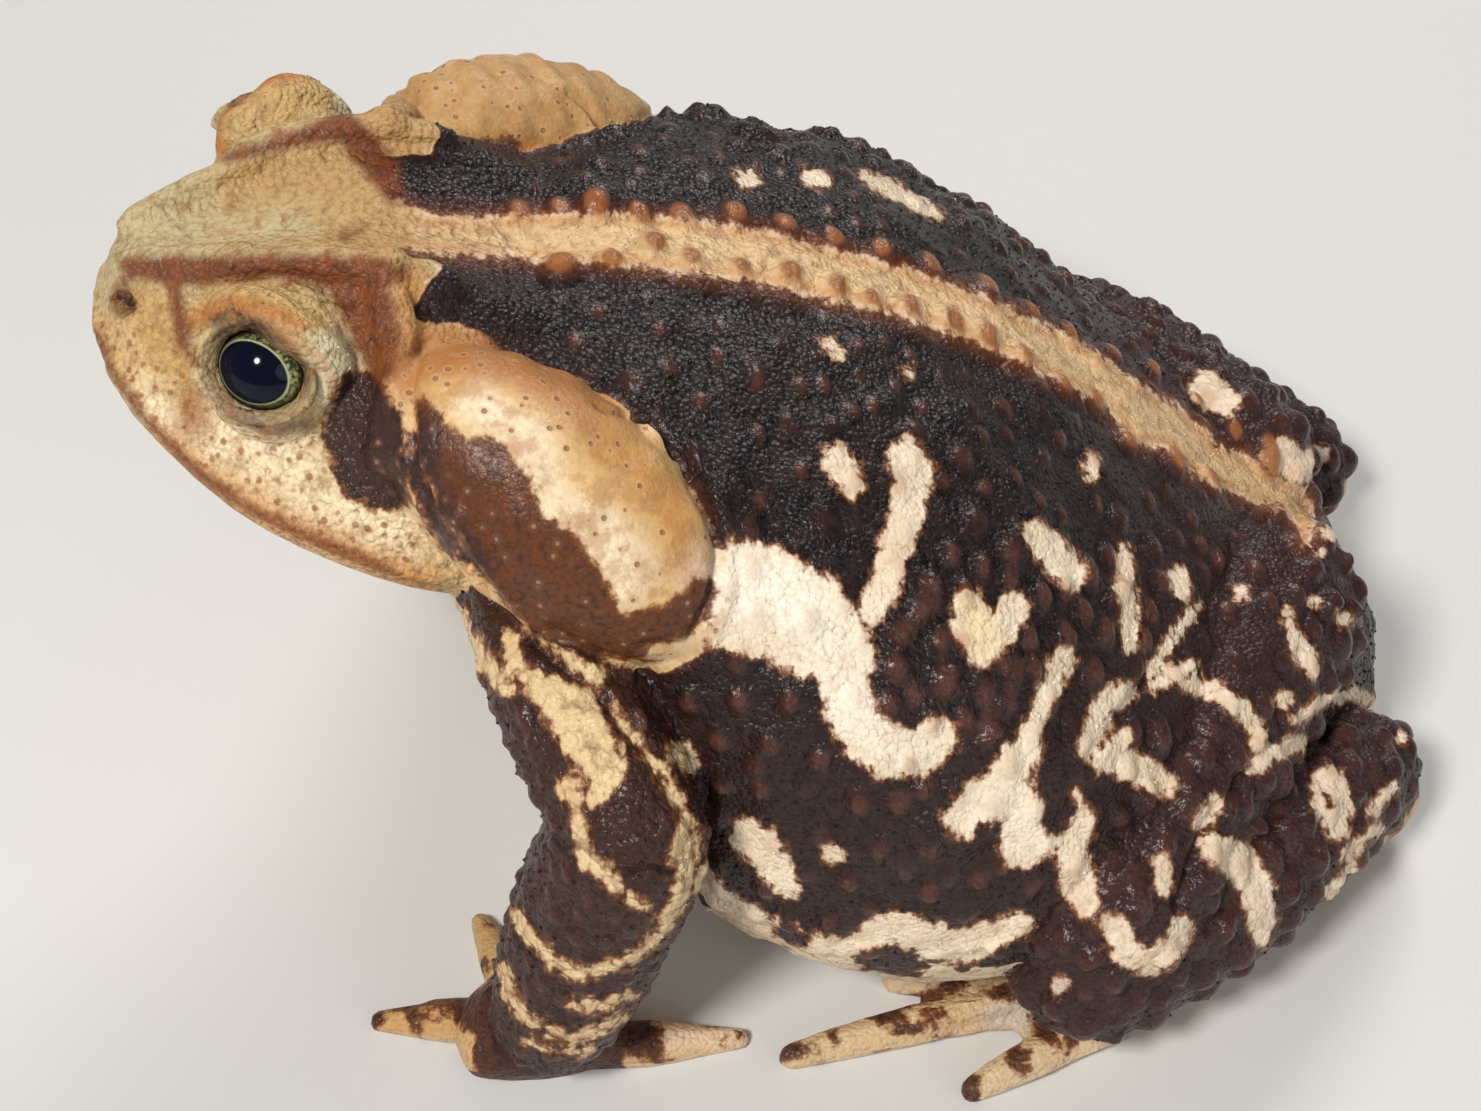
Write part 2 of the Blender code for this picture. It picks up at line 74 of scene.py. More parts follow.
def meshArrays(mesh):
    points = np.empty(len(mesh.vertices) * 3, np.float32)
    mesh.vertices.foreach_get("co", points)
    mesh.calc_loop_triangles()
    faces = np.empty(len(mesh.loop_triangles) * 3, np.int32)
    mesh.loop_triangles.foreach_get("vertices", faces)
    return points.reshape(-1, 3).astype(np.float64) / mm, faces.reshape(-1, 3)


def meshEdges(mesh):
    edges = np.empty(len(mesh.edges) * 2, np.int32)
    mesh.edges.foreach_get("vertices", edges)
    return edges.reshape(-1, 2)


def vertexNormals(points, faces):
    corners = points[faces]
    across = np.cross(corners[:, 1] - corners[:, 0], corners[:, 2] - corners[:, 0])
    normals = np.zeros_like(points)
    for k in range(3):
        for axis in range(3):
            normals[:, axis] += np.bincount(faces[:, k], across[:, axis], len(points))
    return normals / np.maximum(np.linalg.norm(normals, axis=1, keepdims=True), 1e-9)


def neighbourMean(values, edges):
    count = np.bincount(edges.ravel(), minlength=len(values))
    total = np.zeros_like(values)
    flat = total.reshape(len(values), -1)
    source = values.reshape(len(values), -1)
    for axis in range(flat.shape[1]):
        flat[:, axis] += np.bincount(edges[:, 0], source[edges[:, 1], axis], len(values))
        flat[:, axis] += np.bincount(edges[:, 1], source[edges[:, 0], axis], len(values))
    return (flat / np.maximum(count, 1)[:, None]).reshape(values.shape)


def smoothed(values, edges, rounds, share=1):
    # Smoothing that keeps the volume: a step in, then a slightly larger step out
    for k in range(rounds):
        for step in (0.5, -0.52):
            values = values + (neighbourMean(values, edges) - values) * step * share
    return values


def blurred(values, edges, rounds):
    for k in range(rounds):
        values = values * 0.5 + neighbourMean(values, edges) * 0.5
    return values


def writePoints(mesh, points):
    mesh.vertices.foreach_set("co", (points * mm).astype(np.float32).ravel())
    mesh.update()


def storeAttribute(mesh, name, values):
    if values.ndim == 2:
        layer = mesh.attributes.new(name, "FLOAT_COLOR", "POINT")
        full = np.ones((len(values), 4), np.float32)
        full[:, :3] = values
        layer.data.foreach_set("color", full.ravel())
    else:
        layer = mesh.attributes.new(name, "FLOAT", "POINT")
        layer.data.foreach_set("value", values.astype(np.float32))


def bakeModifiers(obj):
    bpy.context.view_layer.update()
    graph = bpy.context.evaluated_depsgraph_get()
    mesh = bpy.data.meshes.new_from_object(obj.evaluated_get(graph))
    obj.modifiers.clear()
    obj.data = mesh
    return obj


def onHead(f, x, u):
    # A place on the head: f runs forward from the corner of the mouth, u up from the lip, x to the side
    forward, side, up = headAxes
    return headOrigin + forward * f + side * x + up * u


def strokeDepth(places, stroke, margin=9):
    # How far each place lies inside a line of round spots: rows of x, y, z and radius. Negative is outside.
    best = np.full(len(places), -30.0 * margin / 9)
    rows = [np.array(row, float) for row in stroke]
    for a, b in zip(rows, rows[1:] or rows):
        middle, reach = (a[:3] + b[:3]) / 2, np.linalg.norm(b[:3] - a[:3]) / 2 + max(a[3], b[3]) + margin
        near = np.nonzero(((places - middle) ** 2).sum(axis=1) < reach * reach)[0]
        if not len(near):
            continue
        length = max(float((b[:3] - a[:3]) @ (b[:3] - a[:3])), 1e-9)
        share = np.clip(((places[near] - a[:3]) @ (b[:3] - a[:3])) / length, 0, 1)
        gap = np.linalg.norm(places[near] - (a[:3] + share[:, None] * (b[:3] - a[:3])), axis=1)
        best[near] = np.maximum(best[near], a[3] + share * (b[3] - a[3]) - gap)
    return best


def smoothStep(low, high, values):
    t = np.clip((values - low) / (high - low), 0, 1)
    return t * t * (3 - 2 * t)


def ridge(places, line, width):
    # 1 on the line, falling smoothly to 0 at this distance from it
    return smoothStep(0, 1, strokeDepth(places, [(*p[:3], width) for p in line]) / width)


def ripple(places, wavelength, seed, waves=7):
    # Smooth lumps, about -1 to 1
    dice = np.random.default_rng(seed)
    total = np.zeros(len(places))
    for k in range(waves):
        way = dice.normal(size=3)
        way *= 2 * math.pi / (wavelength * dice.uniform(0.7, 1.4)) / np.linalg.norm(way)
        total += np.sin(places @ way + dice.uniform(0, 6.28))
    return total / math.sqrt(waves)


# The eyes: where each sits on the head and looks, and the lids round it

headOrigin = np.array([0.0, -52.0, 62.0])
headPitch = math.radians(20)
headAxes = (
    np.array([0.0, -math.cos(headPitch), math.sin(headPitch)]),
    np.array([1.0, 0.0, 0.0]),
    np.array([0.0, math.sin(headPitch), math.cos(headPitch)]),
)
eye = {
    "place": (26.2, 18.2, 12.2), "radius": 6.4, "look": (0.80, -0.22, 0.52),
    "cornea": 0.45, "corneaWidth": 0.62,
    "tilt": 10.0,  # degrees that the front corner of the opening lies above the head's forward line
    "pupilWide": 3.75, "pupilHigh": 3.0,
    "pupilAhead": 0.45, "pupilRaised": -0.30,
    "ringWide": 4.7, "ringHigh": 3.9,
}
lids = {
    "openWide": 0.93, "openHigh": 0.69,  # half angles of the opening, in radians
    "cornerTurn": 0.70, "corner": 0.15, "flatTurn": 1.95, "flat": 0.12,  # its front corner and straighter top
    "reach": 0.62, "depth": 1.0, "thick": 1.4,
    # distances from the eye's centre: the lower lid at its rim and far out, then the upper one
    "lowRim": 6.80, "lowFar": 8.3, "highRim": 7.7, "hood": 9.4, "groove": 8.1,
}


def eyeFrame(side):
    # The eye's centre, its line of sight, and the ways along and up across it
    f, x, u = eye["place"]
    look = np.array([eye["look"][0] * side, *eye["look"][1:]])
    look /= np.linalg.norm(look)
    along = headAxes[0] - look * (headAxes[0] @ look)
    along /= np.linalg.norm(along)
    up = np.cross(look, along)
    up *= np.sign(up[2])
    tilt = math.radians(eye["tilt"])
    along, up = along * math.cos(tilt) + up * math.sin(tilt), up * math.cos(tilt) - along * math.sin(tilt)
    return onHead(f, x * side, u), look, along, up


def lidEdge(turn):
    # The half angle of the opening in each direction; the upper lid comes lower than the lower one rises
    wide, high = lids["openWide"], lids["openHigh"] * (1 - 0.10 * np.sin(turn))
    edge = wide * high / np.hypot(high * np.cos(turn), wide * np.sin(turn))
    corner = np.exp(-((turn - lids["cornerTurn"]) / 0.30) ** 2)
    flat = np.exp(-((turn - lids["flatTurn"]) / 0.55) ** 2)
    return edge + lids["corner"] * corner - lids["flat"] * flat


def lidAngles(places, side):
    # How far past the edge of the opening each place lies, its direction round the eye, and its distance
    centre, look, along, up = eyeFrame(side)
    away = places - centre
    gap = np.linalg.norm(away, axis=1)
    away = away / np.maximum(gap, 1e-6)[:, None]
    angle = np.arccos(np.clip(away @ look, -1, 1))
    turn = np.arctan2(away @ up, away @ along)
    return angle - lidEdge(turn), turn, gap


def addLid(bm, side):
    centre, look, along, up = eyeFrame(side)
    steps, rings = 48, 7
    loops = []
    for layer in (-lids["depth"], lids["thick"]):
        for k in range(rings + 1):
            share = (k if layer < 0 else rings - k) / rings
            loop = []
            for j in range(steps):
                turn = 2 * math.pi * j / steps
                angle = lidEdge(turn) + share * lids["reach"]
                way = look * math.cos(angle) + (along * math.cos(turn) + up * math.sin(turn)) * math.sin(angle)
                loop.append(bm.verts.new(Vector((centre + way * (eye["radius"] + layer)) * mm)))
            loops.append(loop)
    made = []
    for first, second in zip(loops, loops[1:] + loops[:1]):
        for j in range(steps):
            k = (j + 1) % steps
            made.append(bm.faces.new((first[j], first[k], second[k], second[j])))
    bmesh.ops.recalc_face_normals(bm, faces=made)


def shapeLids(points, normals):
    # The lower lid hugs the eyeball; the upper one overhangs it as a thick fold, with a groove behind
    for side in (1, -1):
        centre = eyeFrame(side)[0]
        past, turn, gap = lidAngles(points, side)
        away = (points - centre) / np.maximum(gap, 1e-6)[:, None]
        upper = smoothStep(-0.30, 0.50, np.sin(turn))
        low = lids["lowRim"] + (lids["lowFar"] - lids["lowRim"]) * smoothStep(0.0, 0.8, past)
        high = lids["highRim"] + (lids["hood"] - lids["highRim"]) * smoothStep(0.0, 0.17, past)
        high -= (lids["hood"] - lids["groove"]) * smoothStep(0.42, 0.75, past)
        target = low + (high - low) * upper
        near = smoothStep(1.05, 0.75, past) * smoothStep(-0.06, 0.03, past) * smoothStep(11.0, 10.0, gap)
        outward = smoothStep(0.15, 0.5, (away * normals).sum(axis=1))
        change = np.minimum(target - gap, 0) * near + np.maximum(target - gap, 0) * near * outward
        change[gap < eye["radius"] - 0.2] = 0
        points = points + away * change[:, None]
    return points


# The skin: one unbroken surface over all the flesh, made from the solids

skinSizes = {
    "bridge": 0.24,  # how far each solid is swollen so that the gaps between them close
    "voxel": 0.60,
    "evenRounds": 70,
    "mostTriangles": 197000,
    "digitHold": 0.88, "faceHold": 0.45, "lidHold": 0.93,  # how much smoothing is held back there
}


def makeSkinBase():
    bm = bmesh.new()
    for name in flesh:
        bm.from_mesh(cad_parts[name].data)
    bmesh.ops.remove_doubles(bm, verts=bm.verts, dist=1e-6)
    bm.normal_update()
    for v, shift in [(v, v.normal * skinSizes["bridge"] * mm) for v in bm.verts]:
        v.co += shift
    addLid(bm, 1)
    addLid(bm, -1)
    mesh = bpy.data.meshes.new("skin")
    bm.to_mesh(mesh)
    bm.free()
    obj = bpy.data.objects.new("skin", mesh)
    bpy.context.scene.collection.objects.link(obj)
    remesh = obj.modifiers.new("remesh", "REMESH")
    remesh.mode = "VOXEL"
    remesh.voxel_size = skinSizes["voxel"] * mm
    return bakeModifiers(obj)


def nearestSolid(places):
    # For each place, the index in flesh of the solid that it lies on
    corners, triangles, owner = [], [], []
    for index, name in enumerate(flesh):
        nodePoints, nodeFaces = meshArrays(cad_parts[name].data)
        triangles += (nodeFaces + len(corners)).tolist()
        corners += nodePoints.tolist()
        owner += [index] * len(nodeFaces)
    tree = BVHTree.FromPolygons(corners, triangles)
    return np.array([owner[tree.find_nearest(p)[2]] for p in places.tolist()])


def regionWeight(*names, rounds=8):
    # 1 on these solids, 0 elsewhere, blurred where they meet. A name without a side means both.
    wanted = [k for k, name in enumerate(flesh) if name in names or name.rsplit("_", 1)[0] in names]
    return blurred(np.isin(solidOf, wanted).astype(np.float64), edges, rounds)


def lidHold():
    # 1 on the lids, where smoothing is held back
    held = np.zeros(len(points))
    for side in (1, -1):
        past, turn, gap = lidAngles(points, side)
        held = np.maximum(held, smoothStep(10.0, 8.8, gap) * smoothStep(0.9, 0.6, past))
    return held


print("skin: base")
skin = makeSkinBase()
points, faces = meshArrays(skin.data)
edges = meshEdges(skin.data)
print("skin:", len(points), "points,", len(faces), "triangles")
solidOf = nearestSolid(points)
onDigits, onFace = regionWeight("hand", "foot"), regionWeight("head")
loose = 1 - skinSizes["digitHold"] * onDigits - skinSizes["faceHold"] * onFace * (1 - onDigits)
loose *= 1 - skinSizes["lidHold"] * lidHold()
points = smoothed(points, edges, skinSizes["evenRounds"], loose[:, None])
points = shapeLids(points, vertexNormals(points, faces))
points = smoothed(points, edges, 3)

# The palm draws in under the wrist. Fingers and toes are slimmer than their solids: each side draws in by this
# share of the digit's thickness.
digits = {
    "palm": (50.0, -50.0, 4.0), "palmReach": 9, "palmEdge": 52.5, "palmDraw": 0.65,
    "finger": 0.19, "toe": 0.11,
    "pastPalm": (8, 20), "pastHeel": (50, 30),  # where that begins and is full, in millimetres
    "thickest": 9.5, "lengthwise": (16, 10),  # a digit's tip keeps its place
}


def drawPalms():
    behind = (points[:, 1] - digits["palm"][1]) / digits["palmReach"]
    outer = regionWeight("hand", rounds=3) * np.exp(-behind ** 4)
    outer *= np.clip(np.abs(points[:, 0]) - digits["palmEdge"], 0, None) * digits["palmDraw"]
    points[:, 0] -= np.sign(points[:, 0]) * outer


def slimDigits(points, normals):
    solid = BVHTree.FromPolygons(points.tolist(), faces.tolist())
    reach = np.linalg.norm(np.abs(points * (1, 0, 0)) + points * (0, 1, 1) - digits["palm"], axis=1)
    share = digits["finger"] * regionWeight("hand", rounds=3) * smoothStep(*digits["pastPalm"], reach)
    share += digits["toe"] * regionWeight("foot", rounds=3) * smoothStep(*digits["pastHeel"], points[:, 1])
    inward = np.zeros(len(points))
    for k in np.nonzero(share > 0.005)[0]:
        way = Vector(-normals[k])
        hit = solid.ray_cast(Vector(points[k]) + way * 0.2, way)
        if hit[0] is not None:
            inward[k] = min(hit[3], digits["thickest"]) * smoothStep(*digits["lengthwise"], hit[3])
    inward = blurred(inward, edges, 6) * share
    points = points - normals * inward[:, None]
    points[:, 2] -= inward  # down onto the floor again
    return points


drawPalms()
points = slimDigits(points, vertexNormals(points, faces))


def seenPlace(tree, x, y):
    # The place on the skin behind a pixel of the photograph, and how many pixels a millimetre takes there
    origin, way = pixelRay(x, y)
    hit = tree.ray_cast(origin, way)
    if hit[0] is None:
        return None
    return (*hit[0], view["focal"] / (hit[0] - origin).dot(-cameraAxes()[1]))


def seenStroke(tree, line):
    # A line of pixels with half widths in pixels, laid on the skin as places with radii in millimetres
    rows = []
    line = [row if len(row) == 3 else (*row, 5) for row in line]
    for a, b in zip(line, line[1:] or line):
        count = max(1, int(math.hypot(b[0] - a[0], b[1] - a[1]) / 9))
        for k in range(count + (b is line[-1])):
            share = k / count
            x, y, r = (p + (q - p) * share for p, q in zip(a, b))
            place = seenPlace(tree, x, y)
            if place:
                rows.append((*place[:3], r / place[3]))
    pieces = [[rows[0]]] if rows else []
    for row in rows[1:]:
        # A line that passes from one limb to another behind it is broken there
        if math.dist(row[:3], pieces[-1][-1][:3]) > 5.0:
            pieces.append([])
        pieces[-1].append(row)
    return pieces


# The relief of the head: ridges of the skull, the lip line, the nostrils and hollows

crests = {
    # line in head places, half width, height
    "canthal": (((42, 3.4, 9.2), (36, 6.8, 13.0), (30.5, 9.2, 16.6)), 2.2, 1.3),
    "supraorbital": (((31, 9.4, 16.8), (25, 11.0, 20.0), (17.5, 12.6, 22.2), (10.0, 13.2, 22.8)), 2.2, 1.5),
    "preorbital": (((32.5, 9.0, 15.5), (33.0, 14.0, 12.0), (32.0, 18.5, 7.5)), 1.8, 0.9),
    "postorbital": (((17.0, 13.0, 22.0), (14.5, 18.5, 20.8), (13.0, 23.5, 17.0), (13.0, 26.5, 11.0)), 2.6, 1.2),
    "parietal": (((13.0, 13.0, 22.6), (8.0, 11.0, 23.0)), 2.0, 0.5),
}
face = {
    "lipLine": (
        (-3, 31.4, -3.6), (8, 31.9, -3.4), (17, 29.8, -3.4), (25, 26.4, -3.2), (32, 20.9, -2.8),
        (38, 15.0, -2.0), (41.5, 9.8, -1.3), (43.6, 5.4, -0.4), (44.4, 0.0, 0.0),
    ),
    "lipWidth": 1.3, "lipDepth": 1.1, "lipRoll": 0.6, "lipRaised": 1.9,
    "nostrilPixel": (124, 303), "nostrilWidth": 1.35, "nostrilDepth": 1.9, "nostrilRim": 0.25,
    "loreal": ((34.0, 15.0, 6.0),), "lorealWidth": 8.0, "lorealDepth": 0.8,
    "roof": ((34, 0, 14), (22, 0, 20), (10, 0, 22)), "roofDepth": 1.2, "roofWidth": 9.0,
    "lidRim": 0.55, "lidRimWidth": 0.11,
}


def headLine(line, side, raised=0.0):
    # A line in head places, on this side, moved to the nearest places of the skin
    places = [onHead(f, x * side, u + raised) for f, x, u in line]
    return [tuple(tree.find_nearest(Vector(p))[0]) for p in places]


def nostrilPlace(side):
    return np.array(seenPlace(tree, *face["nostrilPixel"])[:3]) * (side, 1, 1)


def headRelief():
    lift = np.zeros(len(points))
    for side in (1, -1):
        for line, width, height in crests.values():
            lift += ridge(points, headLine(line, side), width) * height
        half = smoothStep(-3, 3, points[:, 0] * side)
        lift -= half * ridge(points, headLine(face["lipLine"], side), face["lipWidth"]) * face["lipDepth"]
        roll = ridge(points, headLine(face["lipLine"], side, face["lipRaised"]), face["lipWidth"] * 1.3)
        lift += half * roll * face["lipRoll"]
        gap = np.linalg.norm(points - nostrilPlace(side), axis=1) / face["nostrilWidth"]
        lift -= np.exp(-gap ** 2 * 1.6) * face["nostrilDepth"]
        lift += np.exp(-((gap - 1.75) / 0.55) ** 2) * face["nostrilRim"]
        lift -= ridge(points, headLine(face["loreal"], side), face["lorealWidth"]) * face["lorealDepth"]
        past, turn, gap = lidAngles(points, side)
        rim = np.exp(-((past - 0.12) / face["lidRimWidth"]) ** 2) * smoothStep(11.0, 9.5, gap)
        lift += rim * face["lidRim"] * smoothStep(0.5, -0.2, np.sin(turn))
    return lift - ridge(points, headLine(face["roof"], 1), face["roofWidth"]) * face["roofDepth"]


# Folds and creases of the body: pixel lines, half width and height in millimetres

folds = {
    "glandRim": ((
        (608, 396), (656, 408), (692, 447), (720, 505), (732, 548), (726, 605), (700, 660), (660, 668),
    ), 1.3, 0.7),
    "glandCrease": ((
        (600, 408), (648, 422), (680, 458), (706, 512), (717, 550), (711, 598), (686, 646), (640, 648),
    ), 1.0, -1.0),
    "underFold": ((
        (458, 516), (480, 554), (501, 580), (521, 610), (546, 630), (571, 650), (592, 672),
    ), 1.6, 0.9),
    "underCrease": ((
        (470, 570), (490, 600), (511, 622), (546, 652), (597, 691), (615, 712), (640, 745), (664, 779),
        (690, 820),
    ), 1.2, -0.8),
    "lidHood": (((186, 336), (200, 322), (216, 314), (242, 309), (284, 315), (304, 326)), 1.1, 0.5),
    "lidGroove": ((
        (192, 294), (212, 287), (240, 283), (285, 283), (322, 295), (342, 320), (350, 345),
    ), 1.1, -0.8),
    "lowerLid": (((228, 404), (242, 417), (262, 427), (292, 429), (316, 417), (328, 398)), 0.8, 0.35),
    "snoutSide": (((186, 296), (182, 330), (186, 352), (196, 372)), 1.3, 0.6),
    "earCrease": (((418, 350), (408, 385), (408, 430), (414, 470), (432, 520)), 1.3, -0.9),
    "thighCrease": (((1035, 940), (1040, 890), (1060, 820), (1100, 740), (1150, 680)), 1.3, -0.6),
    "kneeCrease": (((1180, 905), (1205, 830), (1245, 775), (1275, 740)), 1.5, -1.1),
}


def bodyRelief():
    lift = np.zeros(len(points))
    for line, width, height in folds.values():
        for piece in seenStroke(tree, line):
            for places in (piece, [(-p[0], *p[1:]) for p in piece]):
                lift += ridge(points, places, width) * height
    lift += regionWeight("torso") * (ripple(points, 15, 3) * 0.35 + ripple(points, 7, 4) * 0.16)
    # The far gland is wrinkled across
    wrinkles = smoothStep(0, -10, points[:, 0]) * ripple(points * (1, 1.8, 0.6), 5, 9) * 0.28
    return lift + regionWeight("parotoid", rounds=4) * (ripple(points, 6, 8) * 0.16 + wrinkles)


print("skin: relief")
tree = BVHTree.FromPolygons(points.tolist(), faces.tolist())
normals = vertexNormals(points, faces)
points = points + normals * (headRelief() + bodyRelief())[:, None]

# Warts: round swellings, close on the flanks, large on the hind legs, in rows along the stripe

warts = {
    "seed": 5,
    "drawn": 0.26,  # how much longer than wide a wart is drawn
    "wider": 1.40, "cornerWider": 1.7,  # how much wider than its pixels a placed wart is
    "backPixels": 9,
    # height as a share of the half width, and how rusty the tip is; the lighter tip is partly a painted
    # highlight on the dome
    "flank": (0.50, 1.0), "leg": (0.52, 0.45), "back": (0.30, 1.0),
    "stripeHalf": (1.8, 2.8), "stripeShare": 0.46, "cornerHeight": 0.8,
    # the groove round a wart: its place and width against the half width, and its depth against the height
    "moatPlace": 1.12, "moatWidth": 0.24, "moatDepth": 0.22,
    # solids, spacing, least and most half width, height as a share of the half width
    "scattered": {
        "body": (("torso",), 4.2, 1.3, 2.1, 0.34),
        "leg": (("thigh", "shank"), 4.4, 1.6, 2.5, 0.48),
        "arm": (("upper_arm", "forearm"), 2.6, 0.9, 1.4, 0.34),
    },
}
flankWarts = (
    (1010, 553, 14), (952, 556, 11), (929, 593, 16), (903, 633, 13), (895, 668, 13), (915, 694, 12),
    (889, 703, 11), (946, 680, 16), (984, 692, 13), (987, 729, 15), (1000, 664, 11), (1030, 639, 13),
    (1067, 633, 12), (1064, 590, 12), (1087, 573, 14), (1042, 596, 11), (1102, 633, 13), (1053, 703, 12),
    (1093, 672, 12), (1007, 697, 12), (984, 568, 11), (1120, 580, 13), (1082, 612, 11), (919, 612, 12),
    (960, 640, 11), (965, 590, 11), (940, 640, 11), (1010, 580, 11), (935, 722, 12), (1015, 670, 12),
    (1033, 668, 10), (965, 720, 11), (1110, 556, 11), (1150, 610, 11), (1160, 580, 11), (1145, 640, 11),
    (1215, 560, 11), (1235, 540, 10), (1200, 545, 10), (1255, 570, 11), (1225, 610, 11), (1270, 600, 10),
    (640, 720, 10), (690, 700, 11), (740, 700, 11), (790, 700, 10), (720, 740, 11), (770, 745, 11),
    (820, 760, 11), (760, 790, 10), (860, 800, 12), (900, 800, 12), (880, 845, 11), (930, 850, 12),
    (850, 880, 10), (930, 890, 11), (980, 880, 11), (830, 920, 9), (870, 910, 9), (925, 790, 10), (910, 765, 9),
    (720, 790, 10), (700, 830, 9),
)
backWarts = (
    (800, 386), (823, 386), (857, 346), (883, 343), (872, 406), (921, 406), (895, 386), (1015, 478),
    (1038, 501), (984, 487), (1061, 516), (1099, 504), (944, 481), (981, 435), (757, 386), (717, 355),
    (760, 430), (800, 470), (1150, 500), (1190, 520), (1060, 440), (1010, 410), (560, 160), (640, 150),
    (720, 160), (800, 165), (880, 230), (960, 250), (1040, 290), (600, 310), (660, 330), (700, 400),
    (760, 500), (1230, 500),
)
legWarts = (
    (1149, 802, 14), (1164, 843, 13), (1123, 823, 12), (1110, 860, 14), (1113, 888, 12), (1134, 877, 13),
    (1188, 799, 14), (1185, 761, 12), (1209, 731, 13), (1204, 757, 11), (1158, 737, 16), (1134, 734, 12),
    (1188, 889, 12), (1212, 881, 19), (1253, 833, 21), (1277, 806, 18), (1280, 776, 17), (1352, 714, 17),
    (1345, 738, 18), (1294, 843, 19), (1318, 858, 15), (1373, 772, 15), (1233, 905, 14), (1140, 905, 14),
    (1090, 960, 13), (1110, 985, 14), (1140, 1000, 13), (1060, 940, 12), (1200, 945, 14), (1225, 930, 12),
    (1060, 900, 12), (1180, 975, 12), (1290, 890, 14), (1310, 700, 12), (1385, 740, 12), (1360, 800, 13),
    (1130, 770, 11), (1240, 760, 13), (1230, 800, 13), (1095, 925, 11), (1085, 990, 10), (1160, 1005, 10),
)
stripeWarts = (
    (520, 214), (560, 208), (596, 207), (640, 214), (680, 216), (735, 215), (784, 226), (832, 240), (880, 252),
    (930, 266), (985, 290), (1030, 312), (1070, 335), (1113, 352), (1150, 372), (1195, 402), (1235, 432),
    (1270, 448), (560, 262), (612, 262), (655, 247), (690, 262), (742, 268), (790, 276), (838, 288), (870, 302),
    (910, 308), (955, 322), (985, 340), (1020, 358), (1060, 388), (1095, 400), (1128, 440), (1170, 462),
    (1210, 482), (1265, 465),
)
cornerWarts = (
    (434, 568, 6), (455, 571, 6), (442, 559, 5), (461, 559, 5), (473, 569, 6), (479, 580, 5), (421, 560, 5),
    (410, 553, 4), (398, 546, 4), (448, 580, 4),
)


def spreadOut(candidates, spacing, dice):
    # Places picked so that no two lie nearer than the spacing
    grid, chosen = {}, []
    for index in dice.permutation(len(candidates)):
        place = candidates[index]
        cell = tuple(int(c) for c in place // spacing)
        near = (
            other
            for dx in (-1, 0, 1) for dy in (-1, 0, 1) for dz in (-1, 0, 1)
            for other in grid.get((cell[0] + dx, cell[1] + dy, cell[2] + dz), ())
        )
        if all(((other - place) ** 2).sum() > spacing * spacing for other in near):
            grid.setdefault(cell, []).append(place)
            chosen.append(int(index))
    return chosen


def seenWarts(group, wider):
    # The place and half width of each wart of a list of pixels, and its mirror image
    for x, y, r in group:
        place = seenPlace(tree, x, y)
        for flip in (1, -1) if place else ():
            yield np.array(place[:3]) * (flip, 1, 1), r / place[3] * wider


def scatterWarts(rows, dice):
    # Adds warts over each region, clear of those that the rows hold
    taken = KDTree(len(rows))
    for k, row in enumerate(rows):
        taken.insert(row[0].tolist(), k)
    taken.balance()
    for kind, (names, spacing, least, most, share) in warts["scattered"].items():
        free = (regionWeight(*names, rounds=5) > 0.75) & (points[:, 2] > 6)
        pool = dice.choice(np.nonzero(free)[0], min(9000, int(free.sum())), replace=False)
        for index in spreadOut(points[pool], spacing, dice):
            place = points[pool[index]]
            half = dice.uniform(least, most)
            high = half * share * dice.uniform(0.8, 1.2)
            if taken.find(place.tolist())[2] < half + 1.3:
                continue
            if kind == "body":
                # The warts are lower on the back than on the flank, and small under the belly
                flank = float(max(smoothStep(8, 26, abs(place[0])), smoothStep(40, 56, place[1])))
                high *= 0.30 + 0.70 * flank
                half *= 0.75 + 0.25 * flank
                if place[2] < 22:
                    half, high = half * 0.7, high * 0.5
            rows.append((place, half, high, dice.uniform(0.1, 0.7)))


def placeWarts():
    # Rows of place, half width, height and how rusty the tip is; 2 marks the orange ones along the stripe
    dice = np.random.default_rng(warts["seed"])
    rows = []
    back = [(x, y, warts["backPixels"]) for x, y in backWarts]
    for kind, group in (("flank", flankWarts), ("leg", legWarts), ("back", back)):
        share, rust = warts[kind]
        rows += [(place, half, half * share, rust) for place, half in seenWarts(group, warts["wider"])]
    scatterWarts(rows, dice)
    for x, y in stripeWarts:
        place = seenPlace(tree, x, y)
        if place:
            half = dice.uniform(*warts["stripeHalf"])
            rows.append((np.array(place[:3]), half, half * warts["stripeShare"], 2.0))
    for place, half in seenWarts(cornerWarts, warts["cornerWider"]):
        rows.append((place, half, warts["cornerHeight"], 0.0))
    return rows


def raiseWarts(rows):
    finder = KDTree(len(points))
    for k, p in enumerate(points.tolist()):
        finder.insert(p, k)
    finder.balance()
    lift = np.zeros(len(points))
    tip = np.zeros(len(points))
    rusty = np.zeros(len(points))
    for place, half, high, rust in rows:
        found = finder.find_range(place.tolist(), half * 1.9)
        if not found:
            continue
        index = np.array([row[1] for row in found])
        upright = normals[found[0][1]]
        lengthwise = np.cross(upright, (0.0, 1.0, 0.0))
        lengthwise /= max(float(np.linalg.norm(lengthwise)), 0.2)
        away = points[index] - place
        away = away - np.outer(away @ lengthwise, lengthwise) * warts["drawn"]
        gap = np.linalg.norm(away, axis=1) / half
        same = (normals[index] @ normals[index[int(gap.argmin())]]) > 0.1
        index, gap = index[same], gap[same]
        dome = np.clip(1 - gap * gap, 0, 1) ** 1.25
        moat = np.exp(-((gap - warts["moatPlace"]) / warts["moatWidth"]) ** 2) * warts["moatDepth"]
        lift[index] = np.maximum(lift[index], 0) * 0.35 + (dome - moat) * high
        tip[index] = np.maximum(tip[index], dome)
        rusty[index] = np.maximum(rusty[index], dome * rust)
    return lift, tip, rusty


